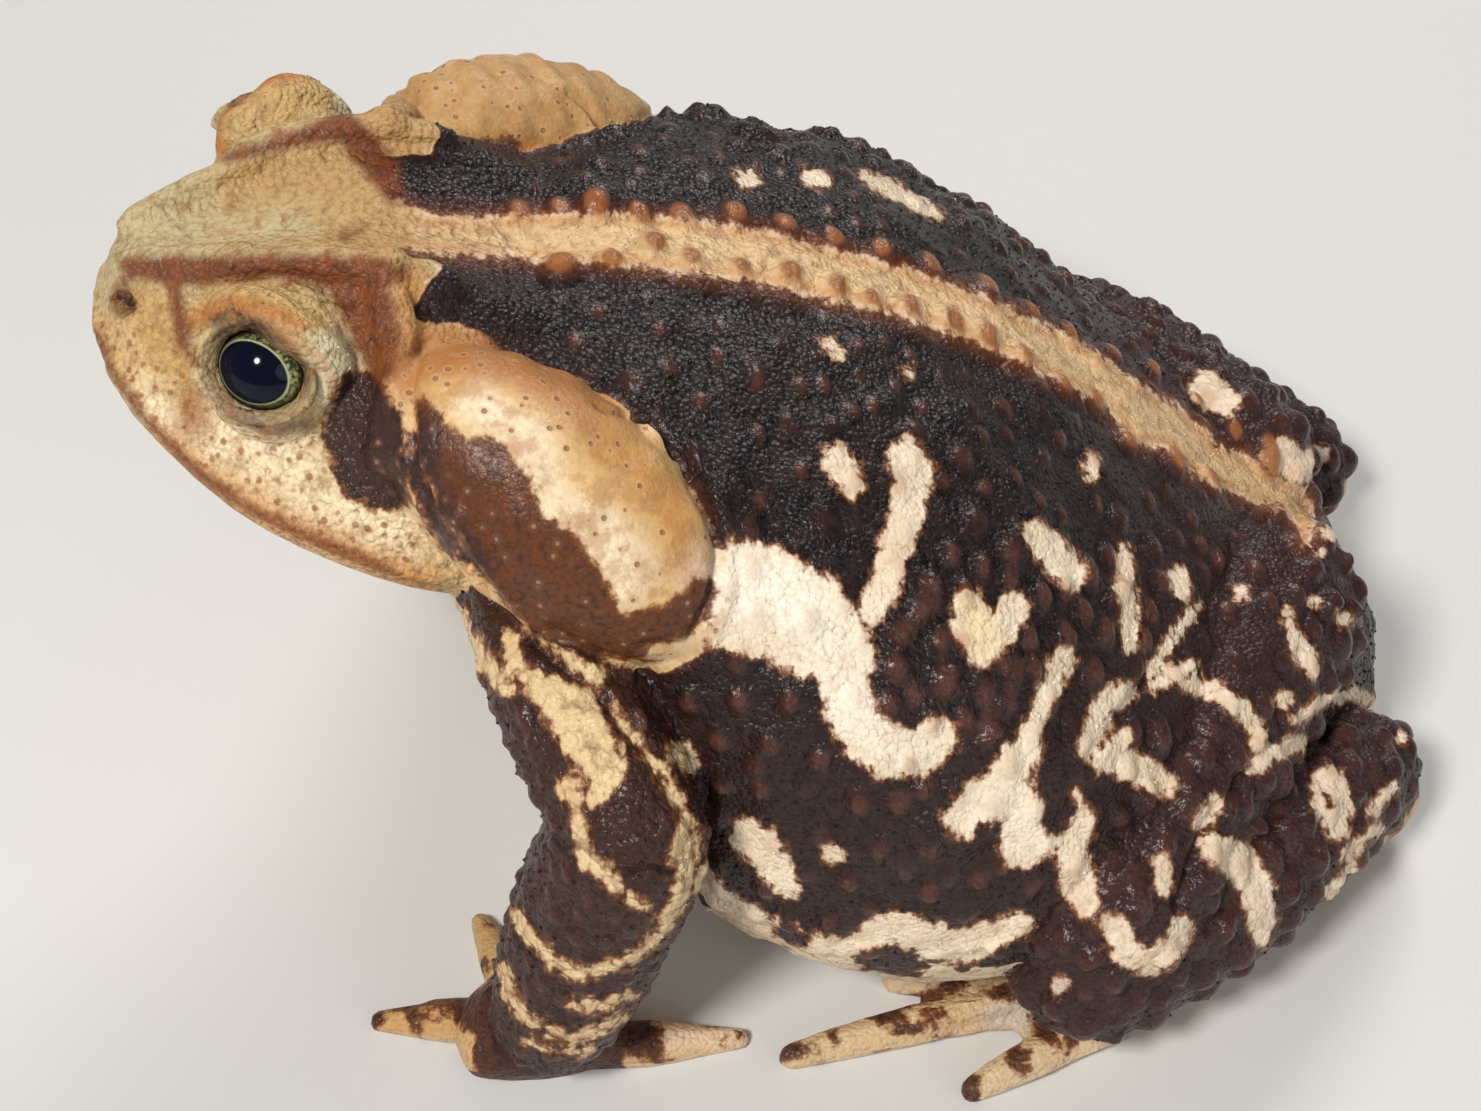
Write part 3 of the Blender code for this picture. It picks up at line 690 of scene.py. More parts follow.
print("skin: warts")
wartRows = placeWarts()
normals = blurred(normals, edges, 4)
normals /= np.linalg.norm(normals, axis=1, keepdims=True)
lift, wartTip, wartRust = raiseWarts(wartRows)
lift *= 1 - 0.6 * smoothStep(-0.2, -0.8, normals[:, 2])  # low where the skin faces the ground
points = smoothed(points + normals * lift[:, None], edges, 1)
points[:, 2] = np.maximum(points[:, 2], 0)
print("skin:", len(wartRows), "warts")
writePoints(skin.data, points)
storeAttribute(skin.data, "wart", wartTip)
storeAttribute(skin.data, "wartRust", wartRust)
decimate = skin.modifiers.new("decimate", "DECIMATE")
decimate.ratio = skinSizes["mostTriangles"] / len(faces)
bakeModifiers(skin)
points, faces = meshArrays(skin.data)
edges = meshEdges(skin.data)
solidOf = nearestSolid(points)
normals = vertexNormals(points, faces)
tree = BVHTree.FromPolygons(points.tolist(), faces.tolist())
wartTip = np.empty(len(points), np.float32)
skin.data.attributes["wart"].data.foreach_get("value", wartTip)
print("skin:", len(faces), "triangles")


# The markings: lines of pixels with half widths in pixels. Each is laid on the skin, and mirrored where
# the camera doesn't see. A depth in millimetres is stored, and the material turns it into a frayed edge.

stripe = {
    "back": (
        (392, 228, 14), (402, 230, 16), (430, 236, 17), (480, 237, 19), (520, 236, 22), (560, 238, 24),
        (600, 238, 25), (640, 240, 26), (700, 248, 26), (760, 256, 26), (840, 276, 25), (900, 291, 24),
        (950, 308, 23), (1000, 328, 22), (1060, 357, 22), (1089, 372, 21), (1119, 392, 18), (1148, 420, 26),
        (1177, 428, 20), (1207, 461, 18), (1236, 473, 19), (1265, 487, 17), (1295, 499, 13), (1306, 524, 9),
        (1305, 539, 5),
    ),
}
paleMarks = {
    "farSpots": ((744, 177, 8), (752, 179, 8)),
    "farSpotTwo": ((812, 176, 8), (824, 180, 7)),
    "farStreak": ((866, 176, 6), (892, 190, 8), (915, 203, 7), (938, 214, 5)),
    "fleckOne": ((827, 341, 6), (838, 356, 6)),
    "fleckTwo": ((908, 366, 4), (910, 377, 3)),
    "oval": ((835, 457, 13), (843, 470, 15), (850, 484, 13)),
    "bar": (
        (905, 456, 17), (914, 470, 18), (912, 495, 17), (903, 525, 16), (895, 555, 15), (885, 587, 14),
        (872, 612, 14),
    ),
    "band": (
        (722, 592, 44), (745, 590, 48), (768, 598, 48), (800, 612, 44), (822, 630, 36), (841, 650, 32),
        (846, 681, 25), (850, 711, 23), (864, 736, 24), (888, 751, 25), (918, 751, 23), (938, 738, 19),
    ),
    "bandLow": ((716, 628, 20), (770, 650, 10), (806, 668, 10)),
    "heart": ((968, 604, 15), (972, 622, 18), (978, 648, 14)),
    "heartTwo": ((1012, 608, 15), (1004, 628, 16), (982, 652, 13)),
    "slant": ((1036, 532, 11), (1052, 552, 15), (1072, 574, 15)),
    "tick": ((1091, 460, 7), (1091, 472, 7)),
    "lineOne": ((1064, 658, 10), (1052, 686, 10), (1038, 716, 10), (1026, 742, 10)),
    "lineTwo": ((1122, 693, 12), (1104, 705, 10), (1094, 728, 9), (1086, 752, 7)),
    "lineThree": ((1124, 552, 7), (1125, 589, 9), (1130, 612, 9), (1129, 644, 8)),
    "dotOne": ((1178, 576, 9), (1182, 588, 9)),
    "lineFour": ((1197, 606, 5), (1171, 640, 5), (1151, 674, 5)),
    "dotTwo": ((1241, 593, 8),),
    "lineFive": ((1287, 612, 4), (1291, 636, 5), (1306, 655, 11), (1313, 674, 5)),
    "dotThree": ((1314, 602, 5),),
    "dotFour": ((1344, 619, 7),),
    "dotFive": ((1321, 553, 4),),
    "lowPatch": (
        (962, 818, 18), (985, 795, 17), (1005, 780, 17), (1022, 808, 20), (1020, 850, 18), (1045, 846, 12),
    ),
    "lowPatchTwo": ((1010, 760, 14), (1030, 745, 12), (1000, 800, 20)),
    "bellyPatch": ((745, 835, 15), (765, 850, 18), (778, 872, 16), (790, 892, 8)),
    "armSpot": ((677, 752, 10), (690, 764, 9)),
    "smallSpot": ((833, 855, 9),),
    "sideBelow": (
        (702, 880, 12), (722, 905, 14), (752, 925, 15), (800, 945, 14), (850, 955, 12), (880, 930, 14),
        (905, 928, 14),
    ),
    "sideBelowTwo": ((905, 930, 14), (934, 942, 18), (969, 946, 16), (995, 935, 14), (1020, 925, 12)),
    "sideBelowThree": ((760, 955, 10), (820, 975, 12), (880, 985, 10), (940, 975, 12)),
    "thighLine": ((1193, 665, 5), (1170, 676, 6), (1151, 687, 5)),
    "thighArc": ((1189, 684, 8), (1220, 693, 9), (1244, 712, 9), (1258, 732, 8), (1260, 748, 7)),
    "thighDot": ((1283, 700, 8),),
    "thighCurve": ((1122, 739, 8), (1108, 758, 14), (1134, 767, 15), (1166, 784, 12)),
    "thighFront": ((1085, 820, 10), (1071, 853, 16), (1079, 887, 16), (1086, 906, 12)),
    "thighFleck": ((1077, 799, 5),),
    "thighInner": ((1162, 863, 8), (1163, 887, 8)),
    "thighTop": ((1215, 804, 8), (1200, 822, 8)),
    "thighV": ((1113, 925, 12), (1124, 949, 14), (1148, 964, 12), (1172, 950, 11), (1182, 928, 10)),
    "kneeSpot": ((1060, 985, 7),),
    "shankRing": ((1213, 848, 13), (1237, 860, 18), (1256, 887, 16), (1262, 918, 14), (1260, 940, 7)),
    "shankOval": ((1328, 784, 17), (1333, 808, 18), (1337, 830, 11)),
    "shankTop": ((1298, 743, 8), (1272, 753, 8), (1254, 768, 8)),
    "ankle": ((1296, 722, 5), (1320, 701, 6), (1355, 693, 6), (1384, 708, 5)),
    "shankEdge": ((1392, 787, 5), (1373, 811, 5)),
    "shankDot": ((1402, 737, 5),),
    "shankLow": ((1379, 828, 5), (1348, 853, 6), (1351, 877, 6), (1327, 894, 6)),
    "farShankOne": ((1205, 388, 16), (1225, 402, 14)),
    "farShankTwo": ((1282, 456, 18), (1298, 468, 16), (1321, 454, 8)),
    "farShankThree": ((1333, 533, 8),),
    "upperArm": ((545, 690, 16), (572, 711, 26), (588, 737, 25), (606, 770, 20), (598, 792, 12)),
    "upperArmLow": ((574, 800, 8), (566, 786, 8)),
    "upperArmEdge": ((442, 605, 11), (458, 622, 10), (488, 668, 8), (506, 688, 8)),
    "upperArmIn": ((511, 640, 7), (513, 666, 9), (535, 680, 8)),
    "underFold": (
        (458, 516, 5), (480, 554, 6), (501, 580, 8), (521, 610, 9), (546, 630, 11), (571, 650, 12),
        (596, 676, 8),
    ),
    "underEdge": ((612, 709, 3), (640, 742, 3), (663, 777, 4), (684, 812, 6), (695, 850, 6)),
    "elbowFront": ((574, 801, 5), (580, 836, 6), (590, 862, 8), (606, 872, 6), (620, 893, 6), (648, 905, 4)),
    "elbowBack": ((686, 836, 9), (680, 858, 11), (688, 880, 9), (680, 900, 8), (662, 925, 5)),
    "armRing": (
        (516, 916, 5), (522, 930, 6), (541, 948, 5), (562, 968, 6), (583, 974, 6), (609, 968, 5), (633, 957, 5),
        (651, 942, 5), (668, 925, 6),
    ),
    "armRingLow": (
        (503, 969, 5), (508, 992, 5), (527, 1019, 5), (545, 1031, 5), (574, 1036, 4), (603, 1030, 4),
        (622, 1015, 4),
    ),
    "armFleck": ((574, 1004, 5), (597, 1007, 5), (633, 996, 3)),
    "wristRing": ((527, 1045, 3), (562, 1054, 3), (590, 1050, 3)),
}
darkMarks = {
    "ear": ((362, 400, 30), (364, 436, 43), (374, 470, 39), (392, 494, 20)),
    "behindEar": ((420, 436, 9), (418, 481, 12), (434, 521, 12), (455, 548, 10), (479, 567, 5)),
    "nape": ((424, 311, 5), (444, 300, 16), (466, 288, 26), (490, 292, 35), (530, 298, 36), (580, 305, 38)),
    "napeTop": ((448, 262, 6), (480, 264, 9), (520, 268, 10)),
    "farNape": ((390, 168, 8), (412, 180, 20), (450, 186, 28), (520, 185, 26), (600, 172, 20), (650, 160, 16)),
    # painted shade in the nostril's opening
    "nostril": ((120, 299, 9), (131, 305, 8)),
    "glandFront": (
        (424, 408, 12), (438, 440, 20), (464, 492, 32), (508, 556, 34), (552, 606, 34), (596, 636, 28),
    ),
    "glandPath": (
        (484, 451, 20), (500, 490, 32), (530, 540, 38), (572, 580, 34), (606, 628, 30), (650, 636, 26),
        (690, 620, 26), (702, 594, 16),
    ),
    "bellySpotOne": ((782, 932, 10), (800, 938, 12)),
    "bellySpotTwo": ((860, 958, 8), (880, 962, 16), (912, 966, 14)),
    "ankleSpot": ((1326, 796, 4), (1330, 806, 4)),
    "fingerTip": ((364, 1017, 15), (376, 1017, 11)),
    "fingerBand": ((466, 996, 9), (470, 1024, 9)),
    "midTip": ((477, 898, 14), (478, 906, 11)),
    "palm": ((640, 1026, 12), (655, 1038, 12), (640, 1050, 9)),
    "handBack": ((500, 1040, 10), (520, 1064, 20), (560, 1078, 24), (598, 1078, 18)),
    "toeTip": ((770, 1054, 16), (784, 1049, 12)),
    "toeBack": ((790, 1038, 6), (840, 1020, 7), (890, 1006, 7), (940, 992, 7)),
    "fingerBack": ((392, 1006, 6), (430, 1003, 6), (470, 1000, 6)),
    "fingerTop": ((620, 1004, 5), (660, 1006, 5), (700, 1012, 5)),
    "toeBandOne": ((830, 1022, 6), (834, 1040, 6)),
    "toeBandTwo": ((880, 1010, 6), (884, 1026, 6)),
    "toeBandThree": ((935, 1000, 7), (940, 1018, 7)),
    "shortToeTip": ((966, 1088, 14), (974, 1083, 9)),
    "shortToeBand": ((1040, 1030, 9), (1056, 1044, 8)),
}
glandPale = {
    "path": (
        (466, 396, 15), (500, 420, 17), (528, 441, 19), (546, 473, 15), (552, 505, 14), (581, 511, 19),
        (600, 530, 22), (621, 556, 24), (634, 586, 20), (630, 604, 12),
    ),
    "rear": ((660, 578, 18), (678, 545, 16), (680, 505, 16)),
    "rim": ((652, 652, 6), (668, 652, 9), (694, 644, 7), (714, 618, 5), (726, 590, 4)),
}
rustMarks = {
    "brow": (
        (128, 266, 8), (150, 269, 14), (181, 272, 17), (228, 269, 14), (262, 267, 13), (300, 268, 16),
        (341, 275, 21), (377, 276, 20), (402, 270, 9),
    ),
    "browEnd": ((350, 290, 22), (368, 310, 29), (377, 340, 25), (382, 368, 16)),
    "cheekRidge": ((176, 284, 7), (178, 313, 8), (184, 341, 7), (194, 364, 5)),
    "farBrow": ((228, 158, 6), (290, 140, 9), (345, 125, 15), (366, 150, 18), (388, 180, 16), (402, 206, 10)),
    "nostrilRidge": ((124, 284, 6), (135, 272, 8)),
    "forehead": ((345, 236, 7), (362, 226, 6)),
    "lip": (
        (96, 330, 5), (112, 372, 6), (150, 425, 5), (205, 478, 6), (262, 516, 6), (330, 545, 7), (392, 572, 6),
    ),
}
# Tints of the pale skin, one of them a painted shadow: colour, how wide its edge is, and the line
tints = {
    "snout": ((194, 182, 140), 5.0, ((150, 250, 30), (220, 230, 40), (300, 210, 50), (330, 190, 40))),
    "forehead": ((190, 154, 100), 4.0, ((250, 180, 20), (320, 170, 26), (360, 210, 26), (390, 250, 12))),
    "cheek": ((248, 228, 188), 4.0, (
        (130, 350, 22), (190, 420, 30), (260, 460, 32), (320, 510, 26), (395, 535, 24),
    )),
    "loreal": ((198, 160, 98), 3.0, ((150, 310, 20), (160, 350, 18), (190, 385, 14))),
    "behindEye": ((226, 228, 190), 2.0, ((318, 338, 11), (334, 360, 17), (334, 388, 12))),
    "upperLid": ((206, 170, 108), 1.5, ((200, 312, 8), (235, 297, 12), (280, 300, 12), (316, 320, 10))),
    "lidRoll": ((186, 112, 52), 1.0, (
        (190, 322, 5), (203, 313, 5), (225, 307, 4), (256, 307, 4), (285, 315, 4), (300, 327, 3),
    )),
    # painted shadow: the dark band under the overhanging upper lid, between its roll and the eye
    "lidShadow": ((56, 44, 42), 0.8, (
        (215, 320, 4), (235, 319, 5), (258, 325, 5), (280, 338, 4), (296, 354, 3),
    )),
    "lowerLid": ((150, 128, 104), 1.0, ((214, 392, 4), (236, 418, 4), (270, 432, 4), (308, 424, 4))),
    "temple": ((196, 142, 84), 2.0, ((410, 285, 12), (415, 330, 14), (400, 350, 10))),
    "cheekPatch": ((150, 92, 50), 2.5, ((186, 404, 8), (196, 424, 9))),
    "jawOrange": ((206, 140, 76), 2.5, (
        (150, 436, 7), (210, 484, 8), (280, 526, 8), (350, 556, 8), (420, 582, 8),
    )),
    "chinSide": ((214, 176, 118), 2.5, ((105, 330, 12), (120, 380, 12))),
    "glandGold": ((172, 104, 44), 3.0, (
        (410, 366, 18), (440, 350, 18), (500, 354, 22), (550, 368, 22), (590, 402, 18), (612, 440, 12),
    )),
    "glandGoldRear": ((206, 150, 84), 2.5, (
        (612, 440, 14), (640, 470, 14), (672, 505, 14), (690, 560, 12), (700, 600, 10),
    )),
    "glandWhite": ((250, 232, 198), 2.0, (
        (474, 404, 12), (528, 441, 18), (550, 505, 16), (596, 534, 22), (625, 570, 26),
    )),
    "glandGrey": ((196, 176, 140), 2.0, ((650, 655, 8), (690, 645, 8), (560, 600, 8))),
    "farGland": ((192, 152, 98), 4.0, ((400, 115, 26), (480, 95, 34), (560, 90, 34), (640, 95, 26))),
    "whiteBand": ((252, 240, 220), 4.0, ((740, 590, 40), (800, 615, 36), (845, 690, 24), (900, 750, 22))),
    "heartInside": ((244, 222, 178), 2.0, ((975, 612, 12), (985, 640, 12))),
    "lowPatch": ((250, 236, 214), 3.0, ((980, 800, 24), (1020, 840, 20))),
    "finger": ((198, 150, 88), 2.5, ((372, 1017, 10), (430, 1014, 12), (480, 1012, 12))),
    "midFinger": ((196, 158, 100), 2.5, ((478, 905, 10), (488, 950, 10))),
    "rearFinger": ((236, 204, 172), 2.5, ((630, 1030, 14), (700, 1030, 14), (770, 1040, 12))),
    "toe": ((216, 186, 144), 2.5, ((765, 1054, 10), (850, 1028, 12), (930, 1014, 12), (1010, 990, 12))),
    "web": ((198, 186, 172), 2.5, ((1000, 1020, 10), (1040, 1010, 10), (1062, 1000, 10))),
}


def linear(r, g, b):
    return (np.array([r, g, b]) / 255.0) ** 2.2


def pixelPlaces(places):
    # Where the camera puts each place, and how many pixels a millimetre takes there
    origin, back, right, up = (np.array(part) for part in cameraAxes())
    away = places - origin
    scale = view["focal"] / -(away @ back)
    x, y = view["width"] / 2 + (away @ right) * scale, view["height"] / 2 - (away @ up) * scale
    return np.stack([x, y, np.zeros(len(places))], axis=1), scale


def lineDepth(line, flip=1):
    # Depth inside a pixel line, as the camera sees it, near the skin that the line lies on; flip -1 mirrors it
    pixels, scale = pixelView[flip]
    flat = strokeDepth(pixels, [(row[0], row[1], 0.0, row[2] if len(row) > 2 else 5) for row in line], 90)
    near = np.full(len(points), -30.0)
    for piece in seenStroke(tree, line):
        rows = [(p[0] * flip, p[1], p[2], p[3] * 1.7 + 3.0) for p in piece]
        near = np.maximum(near, strokeDepth(points, rows))
    return np.minimum(flat / scale, near)


def marksDepth(marks, flip=1):
    depth = np.full(len(points), -30.0)
    for line in marks.values():
        depth = np.maximum(depth, lineDepth(line, flip))
    return depth


def seenWeight():
    # 1 where the camera sees the skin
    toCamera = np.array(cameraAxes()[0]) - points
    toCamera /= np.linalg.norm(toCamera, axis=1, keepdims=True)
    facing = (normals * toCamera).sum(axis=1)
    seen = np.zeros(len(points))
    for k in np.nonzero(facing > 0.05)[0]:
        way = Vector(toCamera[k])
        if tree.ray_cast(Vector(points[k]) + way * 0.8, way)[0] is None:
            seen[k] = 1
    return blurred(seen, edges, 6)


def bothSides(marks, hidden=6):
    # Drawn where the photograph shows them, and mirrored where it doesn't
    return np.maximum(marksDepth(marks), marksDepth(marks, -1) - hidden * seen)


regions = {
    "torso": ("torso",), "head": ("head",), "gland": ("parotoid",), "arm": ("upper_arm", "forearm"),
    "hand": ("hand",), "leg": ("thigh", "shank"), "foot": ("foot",),
}
# Depth inside the pale skin before any mark is drawn, in millimetres; negative is dark
groundDepth = {"torso": -4.0, "head": 3.0, "gland": 2.2, "arm": -1.6, "hand": 1.0, "leg": -4.0, "foot": 0.6}
paleTones = {
    "torso": (246, 228, 200), "head": (208, 181, 130), "gland": (226, 188, 130), "arm": (232, 204, 156),
    "hand": (206, 168, 120), "leg": (242, 222, 196), "foot": (216, 190, 152),
}
darkTones = {
    "torso": (46, 29, 27), "head": (60, 36, 28), "gland": (102, 58, 32), "arm": (62, 38, 30),
    "hand": (84, 48, 30), "leg": (56, 34, 33), "foot": (92, 60, 42),
}
placeTones = {
    "back": (24, 17, 20), "stripeShade": (112, 56, 28), "ear": (64, 42, 36), "stripeEdge": (206, 146, 88),
    # the lid margin tone is the lids' own dark margin and painted shadow under the upper lid
    "stripe": (228, 194, 146), "belly": (222, 206, 178), "lidMarginAndShadow": (26, 22, 22), "lidOrange": (176, 104, 48),
    # the nostril tone is painted shade in the nostril's opening
    "nostril": (48, 27, 24),
}
jaw = ((96, 330, 14), (150, 420, 16), (262, 505, 16), (400, 560, 14))


def makeWeights():
    weights = {key: regionWeight(*names, rounds=5) for key, names in regions.items()}
    # The nape counts as torso, so the dark of the back starts there
    napeDepth = bothSides({key: darkMarks[key] for key in ("nape", "napeTop", "farNape")}, 0)
    nape = smoothStep(-1.5, 0.5, napeDepth) * weights["head"]
    weights["head"] -= nape
    weights["torso"] += nape
    return weights


def underWeight():
    # 1 on the belly, on the chest between the arms and under the limbs
    limbs = np.clip(weights["leg"] + weights["arm"], 0, 1)
    belly = smoothStep(0.15, -0.55, normals[:, 2] + 0.45 * limbs) * smoothStep(34, 16, points[:, 2])
    chest = smoothStep(0.0, 0.5, -normals[:, 1]) * smoothStep(36, 26, np.abs(points[:, 0]))
    chest *= smoothStep(64, 54, points[:, 2]) * smoothStep(-25, -35, points[:, 1])
    return np.maximum(belly, chest * weights["torso"])


def creamDepth():
    cream = sum(weights[key] * depth for key, depth in groundDepth.items())
    mottle = ripple(points, 9, 21) * 1.5 + ripple(points, 5, 22) * 0.6
    cream += under * (weights["torso"] + weights["leg"] + weights["arm"]) * (6.2 + mottle)
    cream += (weights["hand"] + weights["foot"]) * ripple(points, 6, 23) * 1.3
    cream += weights["arm"] * ripple(points, 5, 24) * 0.9 * (1 - seen)
    for side in (1, -1):
        # The palm is darker than the fingers: painted shade under the hand
        gap = np.linalg.norm(points - np.array(digits["palm"]) * (side, 1, 1), axis=1)
        cream -= weights["hand"] * smoothStep(13, 8, gap) * 2.6
    cream = np.maximum(np.maximum(cream, stripeDepth), bothSides(paleMarks))
    cream = np.minimum(cream, -bothSides(darkMarks))
    cream = np.where(weights["gland"] > 0.3, np.maximum(cream, bothSides(glandPale)), cream)
    for side in (1, -1):
        # The tail end of the head, behind the crests, is dark beside the stripe
        cream = np.minimum(cream, -strokeDepth(points, [(*onHead(2, 15 * side, 22), 5.0)]))
    return cream


def rustDepth():
    # The drawn marks, and the crests round the eye where the photograph doesn't show them
    rust = bothSides(rustMarks)
    for side in (1, -1):
        for line, width, height in list(crests.values())[:3]:
            rust = np.maximum(rust, strokeDepth(points, [(*p, 0.9) for p in headLine(line, side)]) - 2 * seen)
    return rust


def mixTone(tones, weight, colour):
    return tones + (linear(*colour) - tones) * np.clip(weight, 0, 1)[:, None]


def regionTones(tones):
    return sum(weights[key][:, None] * linear(*tones[key]) for key in weights) / sum(weights.values())[:, None]


def makeDarkTone():
    tone = regionTones(darkTones)
    onBack = weights["torso"] * smoothStep(0.1, 0.75, normals[:, 2]) * smoothStep(46, 62, points[:, 2])
    tone = mixTone(tone, onBack, placeTones["back"])
    tone = mixTone(tone, smoothStep(-2.4, -0.2, stripeDepth) * 0.75, placeTones["stripeShade"])
    earDepth = bothSides({key: darkMarks[key] for key in ("ear", "behindEar")})
    return mixTone(tone, smoothStep(-2, 0, earDepth), placeTones["ear"])


def makePaleTone():
    tone = mixTone(regionTones(paleTones), smoothStep(-0.5, 0.8, stripeDepth), placeTones["stripeEdge"])
    tone = mixTone(tone, smoothStep(0.3, 1.7, stripeDepth), placeTones["stripe"])
    tone = mixTone(tone, under, placeTones["belly"])
    # Each tint is mixed in along its line; the dark one under the upper lid is painted shadow
    for name, (colour, soft, line) in tints.items():
        away = 6 if name == "farGland" else 0  # millimetres that keep this tint off its other side
        depth = np.maximum(lineDepth(line), lineDepth(line, -1) - away)
        tone = mixTone(tone, smoothStep(-soft, soft * 0.4, depth), colour)
    for side in (1, -1):
        # The bare margins of the lids, against the eye, are dark: the margins' own dark skin, and painted
        # shadow under the upper lid, where the margin is wider and darker
        past, turn, gap = lidAngles(points, side)
        upper = smoothStep(-0.2, 0.4, np.sin(turn))
        margin = smoothStep(9.0, 8.2, gap) * smoothStep(0.03 + 0.05 * upper, -0.03, past)
        tone = mixTone(tone, margin * (0.5 + 0.5 * upper), placeTones["lidMarginAndShadow"])
        orange = smoothStep(10.0, 9.0, gap) * np.exp(-((past - 0.15) / 0.07) ** 2) * upper
        tone = mixTone(tone, orange * 0.7, placeTones["lidOrange"])
        # The nostrils get painted shade in their openings
        gap = np.linalg.norm(points - nostrilPlace(side), axis=1)
        tone = mixTone(tone, smoothStep(2.3, 1.2, gap), placeTones["nostril"])
    return tone


def lidTops():
    # 1 on the swollen tops of the upper lids, which carry granules
    tops = np.zeros(len(points))
    for side in (1, -1):
        past, turn, gap = lidAngles(points, side)
        bulge = smoothStep(0.22, 0.34, past) * smoothStep(0.95, 0.75, past) * smoothStep(11.5, 10.5, gap)
        tops = np.maximum(tops, bulge * smoothStep(0.0, 0.4, np.sin(turn)))
    return tops


def cheekWeight():
    lines = [(line, flip) for line in (tints["cheek"][2], jaw) for flip in (1, -1)]
    return np.max([smoothStep(-3, 1, lineDepth(line, flip)) for line, flip in lines], axis=0)


def alongLimbs():
    # How far along its limb each place lies, for the rings of fine folds
    along = points[:, 1].copy()
    for part in ("upper_arm", "forearm", "thigh", "shank"):
        for end in ("_left", "_right"):
            mine = solidOf == flesh.index(part + end)
            own = points[mine] - points[mine].mean(axis=0)
            axis = np.linalg.svd(own[:: max(1, len(own) // 2000)], full_matrices=False)[2][0]
            along[mine] = own @ axis
    return along


print("skin: marks")
pixelView = {1: pixelPlaces(points), -1: pixelPlaces(points * (-1, 1, 1))}
seen = seenWeight()
weights = makeWeights()
under = underWeight()
stripeDepth = marksDepth(stripe)
rough = np.clip(weights["torso"] + 0.55 * weights["leg"] + weights["arm"], 0, 1)
coarse = weights["arm"] + under + 0.4 * weights["leg"] + 0.8 * smoothStep(-0.5, 0.8, stripeDepth)
horny = rough * (1 - under) * (1 - weights["head"]) * smoothStep(4, 9, points[:, 2])
horny *= 1 - 0.85 * smoothStep(0.1, 0.6, wartTip)
for name, values in {
    "cream": creamDepth(), "rust": rustDepth(), "paleTone": makePaleTone(), "darkTone": makeDarkTone(),
    "gland": weights["gland"], "cheek": cheekWeight() * (1 - weights["gland"]), "onHead": weights["head"],
    "coarse": np.clip(coarse, 0, 1), "rough": rough, "along": alongLimbs(),
    "smooth": np.clip(0.25 * weights["head"] + weights["gland"], 0, 1),
    "granules": np.maximum(lidTops(), horny),
}.items():
    storeAttribute(skin.data, name, values)
for polygon in skin.data.polygons:
    polygon.use_smooth = True


# Shader helpers. Each works in the node tree that its sockets belong to.

def addNode(tree, kind, inputs=None, **settings):
    made = tree.nodes.new(kind)
    for key, value in settings.items():
        setattr(made, key, value)
    for key, value in (inputs or {}).items():
        if isinstance(value, bpy.types.NodeSocket):
            tree.links.new(value, made.inputs[key])
        else:
            made.inputs[key].default_value = value
    return made


def treeOf(*values):
    return next(value.id_data for value in values if isinstance(value, bpy.types.NodeSocket))


def calc(operation, *values):
    return addNode(treeOf(*values), "ShaderNodeMath", dict(enumerate(values)), operation=operation).outputs[0]


def plus(first, *others):
    for other in others:
        first = calc("ADD", first, other)
    return first


def times(first, *others):
    for other in others:
        first = calc("MULTIPLY", first, other)
    return first


def minus(first, second):
    return calc("SUBTRACT", first, second)


def moved(operation, place, other):
    # The place scaled by a number, or multiplied by or added to a vector
    inputs = {0: place, ("Scale" if operation == "SCALE" else 1): other}
    return addNode(treeOf(place), "ShaderNodeVectorMath", inputs, operation=operation).outputs[0]


def fade(value, low, high, start=0.0, end=1.0):
    inputs = {"Value": value, "From Min": low, "From Max": high, "To Min": start, "To Max": end}
    return addNode(treeOf(value), "ShaderNodeMapRange", inputs, interpolation_type="SMOOTHSTEP").outputs[0]


def mixColour(share, a, b):
    # Mix has one set of sockets for each kind of value, so the colour ones are named by place
    inputs = {0: share}
    for place, value in ((6, a), (7, b)):
        inputs[place] = value if isinstance(value, bpy.types.NodeSocket) else (*value, 1.0)
    return addNode(treeOf(share, a, b), "ShaderNodeMix", inputs, data_type="RGBA").outputs[2]


def attribute(tree, name, output="Fac"):
    return addNode(tree, "ShaderNodeAttribute", attribute_name=name).outputs[output]


def noise(place, scale, detail, roughness=0.5, output="Fac"):
    inputs = {"Vector": place, "Scale": scale, "Detail": detail, "Roughness": roughness}
    return addNode(treeOf(place), "ShaderNodeTexNoise", inputs).outputs[output]


def cellDistance(place, scale, randomness=1.0):
    inputs = {"Vector": place, "Scale": scale, "Randomness": randomness}
    return addNode(treeOf(place), "ShaderNodeTexVoronoi", inputs).outputs["Distance"]


def millimetres(tree):
    return moved("SCALE", addNode(tree, "ShaderNodeTexCoord").outputs["Object"], 1000.0)


def newGroup(name, inputs, outputs):
    # A place comes in as a vector, and everything else goes in and out as a number
    group = bpy.data.node_groups.new(name, "ShaderNodeTree")
    group.interface.new_socket("Place", in_out="INPUT", socket_type="NodeSocketVector")
    for label, value in inputs.items():
        group.interface.new_socket(label, in_out="INPUT", socket_type="NodeSocketFloat").default_value = value
    for label in outputs:
        group.interface.new_socket(label, in_out="OUTPUT", socket_type="NodeSocketFloat")
    return group, group.nodes.new("NodeGroupInput").outputs, group.nodes.new("NodeGroupOutput").inputs


def placeGroup(place, group, **inputs):
    return addNode(treeOf(place), "ShaderNodeGroup", {"Place": place, **inputs}, node_tree=group).outputs


